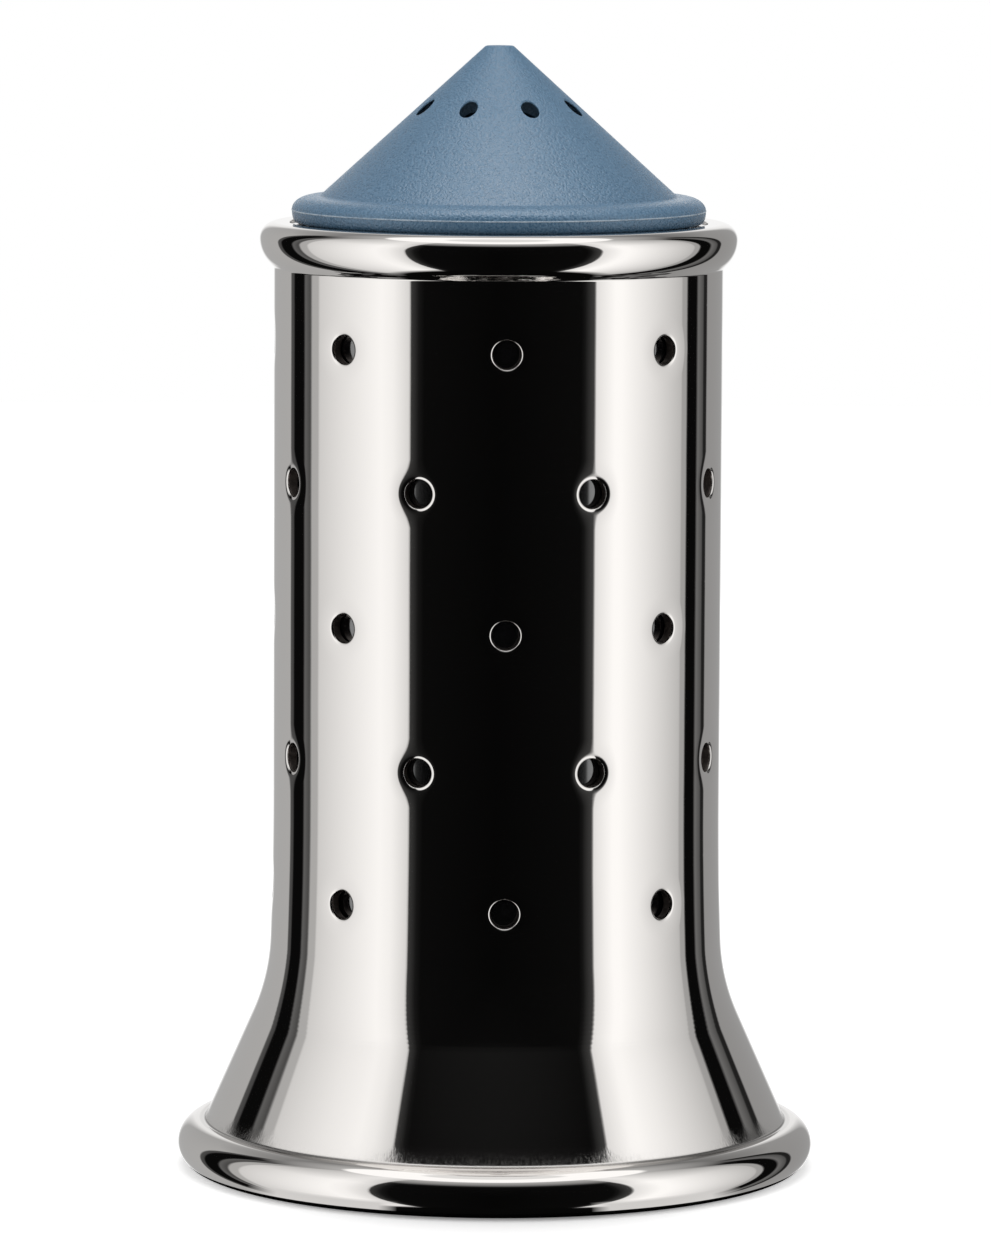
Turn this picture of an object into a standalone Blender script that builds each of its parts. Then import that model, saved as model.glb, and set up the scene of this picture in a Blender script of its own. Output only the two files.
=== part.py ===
"""A salt shaker: a perforated steel mantle round a moulded salt cup, closed by a cone-shaped cap.

Sizes are in metres, +Z is up, and the origin is the centre of the foot, on the table.
"""

import math

import bmesh
import bpy
from mathutils import Matrix, Vector

# Fits
FIT_GAP = 0.0003
PLUG_GAP = 0.0005

# Mantle: one steel tube, curled over at the rim, flared and curled at the foot
TUBE_RADIUS = 0.0181
SHEET_THICKNESS = 0.001
RIM_HEIGHT = 0.07678
RIM_CURL_OVERHANG = 0.00115
RIM_CURL_RISE = 0.001315
RIM_CURL_SHOULDER = 0.00135
RIM_CURL_UNDERSIDE = 0.00275
LEDGE_WIDTH = 0.0012
LEDGE_THICKNESS = 0.0012
FLARE_ANGLE = math.radians(24.1)
FLARE_BEND_RADIUS = 0.0167
FOOT_OVERHANG = 0.0077
FOOT_CURL_RADIUS = 0.00195
FOOT_CREASE_ANGLE = math.radians(98)
FOOT_FLAT_WIDTH = 0.0009

# Perforations: staggered rows round the straight tube
PERFORATION_RADIUS = 0.00117
PERFORATION_ROWS = 5
PERFORATIONS_PER_ROW = 8
PERFORATION_MARGIN_ABOVE = 0.00583
PERFORATION_MARGIN_BELOW = 0.0035
PERFORATION_TURN = math.radians(2.2)

# Container: the moulded cup that holds the salt
CONTAINER_WALL = 0.0014
CONTAINER_FLOOR = 0.0018
CONTAINER_RECESS = 0.0002
CONTAINER_LEAD_IN = 0.0003
CONTAINER_CORNER = 0.0012
BOSS_WALL = 0.0022

# Cap: a hollow cone on a round-edged flange, with a plug that pushes into the container
CONE_HEIGHT = 0.0121
CONE_TIP_RADIUS = 0.0011
CONE_TIP_ROUNDING = 0.0003
FLANGE_INSET = 0.00143
FLANGE_FLAT_WIDTH = 0.00065
FLANGE_UPPER_ROUND = 0.0016
FLANGE_UPPER_RISE = 0.0011
FLANGE_LOWER_ROUND = 0.0006
FLANGE_LOWER_RISE = 0.00087
CAP_WALL = 0.0015
SALT_HOLE_RADIUS = 0.00073
SALT_HOLE_COUNT = 8
SALT_HOLE_CIRCLE = 0.0064
SEAL_SECTION_RADIUS = 0.00055
SEAL_DROP = 0.003
PLUG_LEAD = 0.0026

# Base: a disc inside the foot, held to the container by one screw
BASE_THICKNESS = 0.002
COLLAR_HEIGHT = 0.0027
COLLAR_WIDTH = 0.002
COLLAR_INSET = 0.0016
SCREW_RADIUS = 0.0015
SCREW_TIP_CHAMFER = 0.0003
SCREW_HEAD_OVERHANG = 0.0015
SCREW_HEAD_HEIGHT = 0.0018
SCREW_HEAD_ROUNDING = 0.0006
SCREW_HEAD_CLEARANCE = 0.0009
SCREW_COVER = 0.001
SOCKET_RADIUS = 0.0013
SOCKET_DEPTH = 0.0011

# Fineness of the round shapes: an outline's chords stay within the sag of their arc
ROUND_SEGMENTS = 48
SCREW_SEGMENTS = 24
HOLE_SEGMENTS = 12
SOCKET_SIDES = 6
CHORD_SAG = 0.00003
MERGE_DISTANCE = 0.000001
SMOOTH_ANGLE = math.radians(35)

# The front, towards -Y, where the rings of holes start
FRONT = -math.pi / 2

# Radii that follow from the tube, outside to inside
BORE = TUBE_RADIUS - SHEET_THICKNESS
CONTAINER_RADIUS = BORE - FIT_GAP
CONTAINER_BORE = CONTAINER_RADIUS - CONTAINER_WALL
LEDGE_BORE = BORE - LEDGE_WIDTH
CONTAINER_FOOT_RADIUS = LEDGE_BORE - FIT_GAP
CONTAINER_FOOT_BORE = CONTAINER_FOOT_RADIUS - CONTAINER_WALL
SEAL_RADIUS = CONTAINER_BORE - FIT_GAP - SEAL_SECTION_RADIUS
GROOVE_RADIUS = SEAL_RADIUS - SEAL_SECTION_RADIUS - FIT_GAP
PLUG_RADIUS = CONTAINER_BORE - PLUG_GAP
PLUG_BORE = GROOVE_RADIUS - CAP_WALL
FLANGE_RADIUS = TUBE_RADIUS - FLANGE_INSET
CONE_RADIUS = FLANGE_RADIUS - FLANGE_UPPER_ROUND - FLANGE_FLAT_WIDTH
COLLAR_RADIUS = CONTAINER_FOOT_RADIUS - COLLAR_INSET
SCREW_BORE = SCREW_RADIUS + FIT_GAP
SCREW_HEAD_RADIUS = SCREW_RADIUS + SCREW_HEAD_OVERHANG
BOSS_RADIUS = SCREW_BORE + BOSS_WALL

# Heights that follow, from the table up
HEAD_BOTTOM = SCREW_HEAD_CLEARANCE
HEAD_TOP = HEAD_BOTTOM + SCREW_HEAD_HEIGHT
BASE_BOTTOM = HEAD_TOP + FIT_GAP
BASE_TOP = BASE_BOTTOM + BASE_THICKNESS
BOSS_BOTTOM = BASE_TOP + FIT_GAP
COLLAR_TOP = BASE_TOP + COLLAR_HEIGHT
CONTAINER_BOTTOM = COLLAR_TOP + FIT_GAP
FLOOR_TOP = CONTAINER_BOTTOM + CONTAINER_FLOOR
SCREW_BORE_TOP = FLOOR_TOP - SCREW_COVER
SCREW_TIP = SCREW_BORE_TOP - FIT_GAP
CONTAINER_TOP = RIM_HEIGHT - CONTAINER_RECESS
CURL_WAIST = RIM_HEIGHT - RIM_CURL_RISE
FLANGE_BOTTOM = CONTAINER_TOP + FIT_GAP
FLANGE_WAIST = FLANGE_BOTTOM + FLANGE_LOWER_RISE
FLANGE_TOP = FLANGE_WAIST + FLANGE_UPPER_RISE
CONE_TOP = FLANGE_TOP + CONE_HEIGHT
SEAL_HEIGHT = FLANGE_BOTTOM - SEAL_DROP
GROOVE_HALF_HEIGHT = SEAL_SECTION_RADIUS + FIT_GAP
PLUG_BOTTOM = SEAL_HEIGHT - GROOVE_HALF_HEIGHT - PLUG_LEAD

# The foot curl and the flare: the flare bends out of the tube, then runs straight to the crease
FOOT_FLAT_ANGLE = math.asin(FOOT_FLAT_WIDTH / 2 / FOOT_CURL_RADIUS)
FOOT_CENTRE_RADIUS = TUBE_RADIUS + FOOT_OVERHANG - FOOT_CURL_RADIUS
FOOT_CENTRE_HEIGHT = FOOT_CURL_RADIUS * math.cos(FOOT_FLAT_ANGLE)
THROAT_RADIUS = FOOT_CENTRE_RADIUS - FOOT_CURL_RADIUS
CREASE_RADIUS = FOOT_CENTRE_RADIUS + FOOT_CURL_RADIUS * math.cos(FOOT_CREASE_ANGLE)
CREASE_HEIGHT = FOOT_CENTRE_HEIGHT + FOOT_CURL_RADIUS * math.sin(FOOT_CREASE_ANGLE)
BEND_CENTRE_RADIUS = TUBE_RADIUS + FLARE_BEND_RADIUS
BEND_END_RADIUS = BEND_CENTRE_RADIUS - FLARE_BEND_RADIUS * math.cos(FLARE_ANGLE)
BEND_END_HEIGHT = CREASE_HEIGHT + (CREASE_RADIUS - BEND_END_RADIUS) / math.tan(FLARE_ANGLE)
TUBE_BOTTOM = BEND_END_HEIGHT + FLARE_BEND_RADIUS * math.sin(FLARE_ANGLE)
TUBE_TOP = CURL_WAIST - math.sqrt(RIM_CURL_OVERHANG * (2 * RIM_CURL_UNDERSIDE - RIM_CURL_OVERHANG))

# The ledge at the tube's lower end, and the container's shoulder that stands on it
LEDGE_TOP = TUBE_BOTTOM + LEDGE_THICKNESS
SHOULDER_BOTTOM = LEDGE_TOP + FIT_GAP
SHOULDER_TOP = SHOULDER_BOTTOM + CONTAINER_WALL


def arc(centre, radii, start, end):
    """Points (radius, height) along an ellipse from one angle to another, both ends included."""
    step_angle = math.sqrt(8 * CHORD_SAG / max(radii))
    steps = max(2, math.ceil(abs(end - start) / step_angle))
    points = []
    for step in range(steps + 1):
        angle = start + (end - start) * step / steps
        points.append((centre[0] + radii[0] * math.cos(angle), centre[1] + radii[1] * math.sin(angle)))
    return points


def rounded_corner(before, corner, after, radius):
    """The round that replaces a corner between two straight stretches of an outline."""
    corner = Vector(corner)
    towards_before = (Vector(before) - corner).normalized()
    towards_after = (Vector(after) - corner).normalized()
    half_angle = towards_before.angle(towards_after) / 2
    middle = (towards_before + towards_after).normalized()
    centre = corner + middle * (radius / math.sin(half_angle))
    first = corner + towards_before * (radius / math.tan(half_angle)) - centre
    last = corner + towards_after * (radius / math.tan(half_angle)) - centre
    start = math.atan2(first.y, first.x)
    sweep = math.remainder(math.atan2(last.y, last.x) - start, math.tau)
    return arc(centre, (radius, radius), start, start + sweep)


def first_crossing(start, direction, centre, radius):
    """Where a straight line first meets a circle."""
    offset = Vector(start) - Vector(centre)
    along = offset.dot(direction)
    reach = along * along - offset.length_squared + radius * radius
    return Vector(start) + direction * (-along - math.sqrt(reach))


def turned(outline, segments, closed, start_angle=0.0):
    """Turn an outline of (radius, height) points about Z. An open outline starts and ends on the axis."""
    mesh = bmesh.new()
    verts = []
    for radius, height in outline:
        verts.append(mesh.verts.new((radius, 0.0, height)))
    edges = []
    for first, second in zip(verts, verts[1:]):
        edges.append(mesh.edges.new((first, second)))
    if closed:
        edges.append(mesh.edges.new((verts[-1], verts[0])))
    bmesh.ops.rotate(mesh, verts=verts, cent=(0, 0, 0), matrix=Matrix.Rotation(start_angle, 3, "Z"))
    bmesh.ops.spin(
        mesh,
        geom=verts + edges,
        cent=(0, 0, 0),
        axis=(0, 0, 1),
        angle=math.tau,
        steps=segments,
        use_merge=True,
    )
    bmesh.ops.remove_doubles(mesh, verts=mesh.verts[:], dist=MERGE_DISTANCE)
    bmesh.ops.recalc_face_normals(mesh, faces=mesh.faces[:])
    return mesh


def material(name, colour, roughness, metallic):
    """A plain finish with one colour."""
    finish = bpy.data.materials.new(name)
    finish.use_nodes = True
    shader = finish.node_tree.nodes["Principled BSDF"]
    shader.inputs["Base Color"].default_value = (*colour, 1.0)
    shader.inputs["Roughness"].default_value = roughness
    shader.inputs["Metallic"].default_value = metallic
    return finish


def add_piece(name, mesh, finish, origin_height=0.0):
    """Make an object of a mesh, with its origin on the axis at the given height."""
    bmesh.ops.translate(mesh, verts=mesh.verts[:], vec=(0, 0, -origin_height))
    data = bpy.data.meshes.new(name)
    mesh.to_mesh(data)
    mesh.free()
    data.shade_smooth()
    data.set_sharp_from_angle(angle=SMOOTH_ANGLE)
    data.materials.append(finish)
    piece = bpy.data.objects.new(name, data)
    piece.location = (0, 0, origin_height)
    bpy.context.scene.collection.objects.link(piece)
    return piece


def cut(piece, name, mesh):
    """Cut a mesh out of a piece and keep the cutter as a hidden guide."""
    data = bpy.data.meshes.new(name)
    mesh.to_mesh(data)
    mesh.free()
    cutter = bpy.data.objects.new(name, data)
    cutter.hide_render = True
    cutter.display_type = "WIRE"
    bpy.context.scene.collection.objects.link(cutter)
    boolean = piece.modifiers.new(name, "BOOLEAN")
    boolean.operation = "DIFFERENCE"
    boolean.solver = "EXACT"
    boolean.object = cutter


def add_drill(mesh, centre, axis, radius, length, segments=HOLE_SEGMENTS):
    """Add one round bar to a cutter, centred on a point of the wall and along the hole's axis."""
    turn = axis.to_track_quat("Z", "Y").to_matrix().to_4x4()
    bmesh.ops.create_cone(
        mesh,
        cap_ends=True,
        segments=segments,
        radius1=radius,
        radius2=radius,
        depth=length,
        matrix=Matrix.Translation(centre) @ turn,
    )


def flare_bore(height):
    """The radius of the straight flare's inside at a height."""
    across = SHEET_THICKNESS / math.cos(FLARE_ANGLE)
    return CREASE_RADIUS - (height - CREASE_HEIGHT) * math.tan(FLARE_ANGLE) - across


def mantle_outline():
    """The mantle's closed outline, from the rim down the outside and back up the inside."""
    curl_radius = TUBE_RADIUS + RIM_CURL_OVERHANG
    shoulder_centre = (curl_radius - RIM_CURL_SHOULDER, CURL_WAIST)
    shoulder_radii = (RIM_CURL_SHOULDER, RIM_CURL_RISE)
    underside_centre = (curl_radius - RIM_CURL_UNDERSIDE, CURL_WAIST)
    underside_radii = (RIM_CURL_UNDERSIDE, RIM_CURL_UNDERSIDE)
    underside_end = -math.acos(1 - RIM_CURL_OVERHANG / RIM_CURL_UNDERSIDE)

    bend_centre = (BEND_CENTRE_RADIUS, TUBE_BOTTOM)
    outer_bend = (FLARE_BEND_RADIUS, FLARE_BEND_RADIUS)
    inner_bend = (FLARE_BEND_RADIUS + SHEET_THICKNESS, FLARE_BEND_RADIUS + SHEET_THICKNESS)
    bend_end = math.pi + FLARE_ANGLE

    foot_centre = (FOOT_CENTRE_RADIUS, FOOT_CENTRE_HEIGHT)
    foot_radii = (FOOT_CURL_RADIUS, FOOT_CURL_RADIUS)
    down_the_flare = Vector((math.sin(FLARE_ANGLE), -math.cos(FLARE_ANGLE)))
    flare_start = (flare_bore(BEND_END_HEIGHT), BEND_END_HEIGHT)
    inner_crease = first_crossing(flare_start, down_the_flare, foot_centre, FOOT_CURL_RADIUS)
    inner_angle = math.atan2(inner_crease.y - foot_centre[1], inner_crease.x - foot_centre[0])

    outline = [(BORE, RIM_HEIGHT)]
    outline += arc(shoulder_centre, shoulder_radii, math.pi / 2, 0)
    outline += arc(underside_centre, underside_radii, 0, underside_end)[1:]
    outline += arc(bend_centre, outer_bend, math.pi, bend_end)
    outline += arc(foot_centre, foot_radii, FOOT_CREASE_ANGLE, -math.pi / 2 + FOOT_FLAT_ANGLE)
    outline += arc(foot_centre, foot_radii, -math.pi / 2 - FOOT_FLAT_ANGLE, inner_angle - math.tau)
    outline += arc(bend_centre, inner_bend, bend_end, math.pi)
    outline += [(LEDGE_BORE, TUBE_BOTTOM), (LEDGE_BORE, LEDGE_TOP), (BORE, LEDGE_TOP)]
    return outline


def perforation_cutter():
    """Radial bars for every perforation, in rows that are staggered by half a step."""
    mesh = bmesh.new()
    highest = TUBE_TOP - PERFORATION_MARGIN_ABOVE
    lowest = TUBE_BOTTOM + PERFORATION_MARGIN_BELOW
    step = math.tau / PERFORATIONS_PER_ROW
    for row in range(PERFORATION_ROWS):
        height = highest + (lowest - highest) * row / (PERFORATION_ROWS - 1)
        for column in range(PERFORATIONS_PER_ROW):
            angle = FRONT + PERFORATION_TURN + step * (column + (row % 2) / 2)
            axis = Vector((math.cos(angle), math.sin(angle), 0))
            middle = axis * (TUBE_RADIUS - SHEET_THICKNESS / 2) + Vector((0, 0, height))
            add_drill(mesh, middle, axis, PERFORATION_RADIUS, SHEET_THICKNESS * 3)
    return mesh


def cap_outline():
    """The cap's outline, from the tip down the outside, round the plug and up inside the cone."""
    tip = (CONE_TIP_RADIUS, CONE_TOP)
    cone_foot = (CONE_RADIUS, FLANGE_TOP)
    upper_centre = (FLANGE_RADIUS - FLANGE_UPPER_ROUND, FLANGE_WAIST)
    lower_centre = (FLANGE_RADIUS - FLANGE_LOWER_ROUND, FLANGE_WAIST)
    slope = (CONE_RADIUS - CONE_TIP_RADIUS) / CONE_HEIGHT
    wall_across = CAP_WALL * math.hypot(1, slope)
    ceiling_radius = CONE_TIP_RADIUS / 2
    ceiling = CONE_TOP - (ceiling_radius - CONE_TIP_RADIUS + wall_across) / slope
    cone_inside_bottom = CONE_TOP - (PLUG_BORE - CONE_TIP_RADIUS + wall_across) / slope

    outline = [(0, CONE_TOP)]
    outline += rounded_corner((0, CONE_TOP), tip, cone_foot, CONE_TIP_ROUNDING)
    outline += [cone_foot]
    outline += arc(upper_centre, (FLANGE_UPPER_ROUND, FLANGE_UPPER_RISE), math.pi / 2, 0)
    outline += arc(lower_centre, (FLANGE_LOWER_ROUND, FLANGE_LOWER_RISE), 0, -math.pi / 2)[1:]
    outline += [(PLUG_RADIUS, FLANGE_BOTTOM), (PLUG_RADIUS, SEAL_HEIGHT + GROOVE_HALF_HEIGHT)]
    outline += [(GROOVE_RADIUS, SEAL_HEIGHT + GROOVE_HALF_HEIGHT)]
    outline += [(GROOVE_RADIUS, SEAL_HEIGHT - GROOVE_HALF_HEIGHT)]
    outline += [(PLUG_RADIUS, SEAL_HEIGHT - GROOVE_HALF_HEIGHT), (PLUG_RADIUS, PLUG_BOTTOM)]
    outline += [(PLUG_BORE, PLUG_BOTTOM), (PLUG_BORE, cone_inside_bottom)]
    outline += [(ceiling_radius, ceiling), (0, ceiling)]
    return outline


def salt_hole_cutter():
    """Short upright bars through the cone's flank, as the mould's pins stand, in a ring round the tip."""
    mesh = bmesh.new()
    slope = (CONE_RADIUS - CONE_TIP_RADIUS) / CONE_HEIGHT
    height = CONE_TOP - (SALT_HOLE_CIRCLE - CONE_TIP_RADIUS) / slope
    wall_upright = CAP_WALL * math.hypot(1, 1 / slope)
    upwards = Vector((0, 0, 1))
    for number in range(SALT_HOLE_COUNT):
        angle = FRONT + math.tau * (number + 0.5) / SALT_HOLE_COUNT
        outwards = Vector((math.cos(angle), math.sin(angle), 0))
        on_flank = outwards * SALT_HOLE_CIRCLE + upwards * height
        middle = on_flank - upwards * (wall_upright / 2)
        add_drill(mesh, middle, upwards, SALT_HOLE_RADIUS, wall_upright * 2)
    return mesh


def container_outline():
    """The cup's outline, from the middle of its floor up the inside and down the outside to the boss."""
    floor_edge = (CONTAINER_FOOT_BORE, FLOOR_TOP)
    under_edge = (CONTAINER_FOOT_RADIUS, CONTAINER_BOTTOM)
    outline = [(0, FLOOR_TOP)]
    outline += rounded_corner((0, FLOOR_TOP), floor_edge, (CONTAINER_FOOT_BORE, RIM_HEIGHT), CONTAINER_CORNER)
    outline += [(CONTAINER_FOOT_BORE, SHOULDER_BOTTOM), (CONTAINER_BORE, SHOULDER_TOP)]
    outline += [(CONTAINER_BORE, CONTAINER_TOP - CONTAINER_LEAD_IN)]
    outline += [(CONTAINER_BORE + CONTAINER_LEAD_IN, CONTAINER_TOP), (CONTAINER_RADIUS, CONTAINER_TOP)]
    outline += [(CONTAINER_RADIUS, SHOULDER_BOTTOM), (CONTAINER_FOOT_RADIUS, SHOULDER_BOTTOM)]
    outline += rounded_corner(outline[-1], under_edge, (0, CONTAINER_BOTTOM), CONTAINER_CORNER)
    outline += [(BOSS_RADIUS, CONTAINER_BOTTOM), (BOSS_RADIUS, BOSS_BOTTOM)]
    outline += [(SCREW_BORE, BOSS_BOTTOM), (SCREW_BORE, SCREW_BORE_TOP), (0, SCREW_BORE_TOP)]
    return outline


def base_outline():
    """The base's closed outline: a disc that passes the foot's throat, with a collar under the cup."""
    radius = min(THROAT_RADIUS, flare_bore(BASE_TOP)) - FIT_GAP
    outline = [(SCREW_BORE, BASE_TOP), (COLLAR_RADIUS - COLLAR_WIDTH, BASE_TOP)]
    outline += [(COLLAR_RADIUS - COLLAR_WIDTH, COLLAR_TOP), (COLLAR_RADIUS, COLLAR_TOP)]
    outline += [(COLLAR_RADIUS, BASE_TOP), (radius, BASE_TOP)]
    outline += [(radius, BASE_BOTTOM), (SCREW_BORE, BASE_BOTTOM)]
    return outline


def screw_outline():
    """The screw's outline, from its tip down to the middle of its head."""
    head_edge = (SCREW_HEAD_RADIUS, HEAD_BOTTOM)
    outline = [(0, SCREW_TIP), (SCREW_RADIUS - SCREW_TIP_CHAMFER, SCREW_TIP)]
    outline += [(SCREW_RADIUS, SCREW_TIP - SCREW_TIP_CHAMFER), (SCREW_RADIUS, HEAD_TOP)]
    outline += [(SCREW_HEAD_RADIUS, HEAD_TOP)]
    outline += rounded_corner(outline[-1], head_edge, (0, HEAD_BOTTOM), SCREW_HEAD_ROUNDING)
    outline += [(0, HEAD_BOTTOM)]
    return outline


def build():
    """Make every piece in its place."""
    for old in list(bpy.data.objects):
        bpy.data.objects.remove(old, do_unlink=True)

    polished_steel = material("polished_steel", (0.62, 0.61, 0.60), 0.06, 1.0)
    blue_plastic = material("blue_plastic", (0.13, 0.23, 0.35), 0.55, 0.0)
    dark_plastic = material("dark_plastic", (0.012, 0.012, 0.013), 0.25, 0.0)
    base_plastic = material("base_plastic", (0.02, 0.02, 0.022), 0.5, 0.0)
    black_rubber = material("black_rubber", (0.015, 0.015, 0.015), 0.7, 0.0)
    screw_steel = material("screw_steel", (0.5, 0.5, 0.5), 0.3, 1.0)

    mantle_mesh = turned(mantle_outline(), ROUND_SEGMENTS, True, PERFORATION_TURN)
    mantle = add_piece("mantle", mantle_mesh, polished_steel)
    cut(mantle, "perforations", perforation_cutter())

    add_piece("container", turned(container_outline(), ROUND_SEGMENTS, False), dark_plastic)

    cap_mesh = turned(cap_outline(), ROUND_SEGMENTS, False)
    cap = add_piece("cone_cap", cap_mesh, blue_plastic, FLANGE_BOTTOM)
    cut(cap, "salt_holes", salt_hole_cutter())

    seal_section = (SEAL_SECTION_RADIUS, SEAL_SECTION_RADIUS)
    seal_outline = arc((SEAL_RADIUS, SEAL_HEIGHT), seal_section, math.pi / 2, -math.pi * 1.5)[:-1]
    add_piece("cap_seal", turned(seal_outline, ROUND_SEGMENTS, True), black_rubber, SEAL_HEIGHT)

    add_piece("base_disc", turned(base_outline(), ROUND_SEGMENTS, True), base_plastic)

    screw = add_piece("base_screw", turned(screw_outline(), SCREW_SEGMENTS, False), screw_steel)
    socket = bmesh.new()
    socket_mouth = Vector((0, 0, HEAD_BOTTOM))
    add_drill(socket, socket_mouth, Vector((0, 0, 1)), SOCKET_RADIUS, SOCKET_DEPTH * 2, SOCKET_SIDES)
    cut(screw, "screw_socket", socket)


build()
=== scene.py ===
"""Looks of the salt shaker: a mirror-polished, perforated steel mantle under a matt blue cone cap.

Sizes are in metres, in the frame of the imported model: +Z is up, and the front looks towards -Y.
"""

import math

import bmesh
import bpy
from mathutils import Matrix, Vector


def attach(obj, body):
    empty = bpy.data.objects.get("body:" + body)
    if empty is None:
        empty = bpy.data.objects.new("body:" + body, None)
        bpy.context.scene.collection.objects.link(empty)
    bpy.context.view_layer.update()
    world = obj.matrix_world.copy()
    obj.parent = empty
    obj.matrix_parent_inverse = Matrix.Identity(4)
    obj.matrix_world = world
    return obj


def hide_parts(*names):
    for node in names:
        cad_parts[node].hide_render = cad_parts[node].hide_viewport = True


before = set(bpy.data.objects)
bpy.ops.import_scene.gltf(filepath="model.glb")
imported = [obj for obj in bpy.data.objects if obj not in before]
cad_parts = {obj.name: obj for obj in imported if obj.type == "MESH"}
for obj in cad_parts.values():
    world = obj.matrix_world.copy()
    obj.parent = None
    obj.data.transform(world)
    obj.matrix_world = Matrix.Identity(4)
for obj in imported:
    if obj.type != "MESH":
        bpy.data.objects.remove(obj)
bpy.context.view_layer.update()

MM = 0.001
FRONT = -math.pi / 2

# Mantle: a tube with a curled rim and a flared, curled foot
TUBE_RADIUS = 18.1 * MM
BORE = 17.1 * MM
RIM_HEIGHT = 76.78 * MM
RIM_RADIUS = 19.25 * MM
RIM_WAIST = 75.465 * MM
RIM_SHOULDER = 1.35 * MM
RIM_UNDERSIDE = 2.75 * MM
RIM_INNER_ROUND = 0.12 * MM
RIM_LIP_RADIUS = 16.82 * MM
RIM_LIP_DEPTH = 0.5 * MM
RIM_SEAT_ANGLE = math.radians(42.8)
RIM_SEAT_TOP = 73.6 * MM
RIM_SEAT_BOTTOM = 73.15 * MM
RIM_CREASE_ROUND = 0.2 * MM
SHEET = 1.0 * MM
TUBE_BOTTOM = 18.6 * MM
SWELL_TOP = 30.0 * MM
SWELL_BEND = 300 * MM
FLARE_ANGLE = math.radians(23.97)
FLARE_BEND = 16.7 * MM
FOOT_RADIUS = 25.8 * MM
FOOT_CURL = 1.95 * MM
FOOT_CREASE_ANGLE = math.radians(98)
FOOT_CREASE_ROUND = 0.3 * MM
FOOT_FLAT_HALF_WIDTH = 0.45 * MM
FOOT_CREASE_HEIGHT = 3.9 * MM
FOOT_DULL_TOP = 5.3 * MM
BARE_BORE_TOP = 72.0 * MM
BARE_DEPTH = 0.2 * MM
BARE_ROUGHNESS = 0.42
LEDGE_BORE = 15.9 * MM
LEDGE_TOP = 20.84 * MM
LEDGE_BOTTOM = 19.64 * MM
LEDGE_WELD_GAP = 0.01 * MM
LEDGE_EDGE_ROUND = 0.2 * MM

# Perforations: punched from outside, so the sheet dips towards each one and its edge is buffed round
PERFORATION_RADIUS = 1.17 * MM
PERFORATION_ROWS = 5
PERFORATIONS_PER_ROW = 8
PERFORATION_TURN = math.radians(2.2)
TOP_ROW = 67.4 * MM
ROW_PITCH = 11.065 * MM
DISH_RADIUS = 2.8 * MM
DISH_DEPTH = 0.045 * MM
BUFFED_RADIUS = 1.42 * MM
BUFFED_DEPTH = 0.12 * MM
BURR_ROUND = 0.04 * MM
CELL_HALF_HEIGHT = 3.4 * MM
CELL_STEPS_ACROSS = 20
CELL_STEPS_UP = 12

# Cap: a hollow cone on a round-edged flange, above a plug with a groove for the seal
CONE_TOP = 90.95 * MM
CONE_TIP_RADIUS = 1.1 * MM
CONE_TIP_ROUND = 0.3 * MM
CONE_FOOT_RADIUS = 14.42 * MM
CONE_FOOT_ROUND = 0.35 * MM
FLANGE_RADIUS = 16.67 * MM
FLANGE_TOP = 78.85 * MM
FLANGE_WAIST = 77.75 * MM
FLANGE_BOTTOM = 76.74 * MM
FLANGE_UPPER_ROUND = 1.6 * MM
FLANGE_LOWER_ROUND = 0.38 * MM
PARTING_LINE_WIDTH = 0.12 * MM
PARTING_LINE_RISE = 0.03 * MM
CAP_WALL = 1.5 * MM
PLUG_RADIUS = 14.9 * MM
PLUG_BORE = 12.2 * MM
PLUG_BOTTOM = 70.43 * MM
PLUG_EDGE_ROUND = 0.4 * MM
GROOVE_RADIUS = 13.7 * MM
GROOVE_HALF_HEIGHT = 0.85 * MM
SALT_HOLE_RADIUS = 0.73 * MM
SALT_HOLE_COUNT = 8
SALT_HOLE_CIRCLE = 6.4 * MM
SALT_HOLE_ROUND = 0.06 * MM
SALT_HOLE_LAND = 0.15 * MM
SALT_HOLE_RELIEF = 1.85 * MM
SALT_HOLE_SKIN = 0.45 * MM
SALT_CELL_HALF_WIDTH = 2.0 * MM
SALT_CELL_STEPS_ACROSS = 16
SALT_CELL_STEPS_OUT = 12

# Seal: a rubber ring in the plug's groove
SEAL_RADIUS = 14.55 * MM
SEAL_HEIGHT = 73.88 * MM
SEAL_SECTION = 0.55 * MM
SEAL_FLASH = 0.02 * MM

# Container: a moulded cup that stands with its shoulder on the mantle's ledge
CONTAINER_RADIUS = 16.8 * MM
CONTAINER_BORE = 15.4 * MM
CONTAINER_TOP = 76.58 * MM
CONTAINER_BELLY = 16.97 * MM
CONTAINER_BELLY_TOP = 74.0 * MM
CONTAINER_NECK_BOTTOM = 74.8 * MM
CONTAINER_FOOT_RADIUS = 15.6 * MM
CONTAINER_FOOT_BORE = 14.2 * MM
SHOULDER_BOTTOM = 21.14 * MM
SHOULDER_TOP = 22.54 * MM
CONTAINER_BOTTOM = 8.0 * MM
CONTAINER_FLOOR_TOP = 9.8 * MM
CONTAINER_CORNER = 1.2 * MM
CONTAINER_LEAD_IN = 0.3 * MM
CONTAINER_EDGE_ROUND = 0.15 * MM
BOSS_RADIUS = 4.0 * MM
BOSS_BOTTOM = 5.3 * MM
SCREW_BORE = 1.8 * MM
SCREW_BORE_TOP = 8.8 * MM

# Base: a disc inside the foot, with a collar under the cup and a shallow ring pressed into its underside
BASE_RADIUS = 21.6 * MM
BASE_TOP = 5.0 * MM
BASE_BOTTOM = 3.0 * MM
BASE_EDGE_ROUND = 0.4 * MM
COLLAR_RADIUS = 14.0 * MM
COLLAR_BORE = 12.0 * MM
COLLAR_TOP = 7.7 * MM
RECESS_INNER = 8.0 * MM
RECESS_OUTER = 17.0 * MM
RECESS_DEPTH = 0.5 * MM

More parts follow.
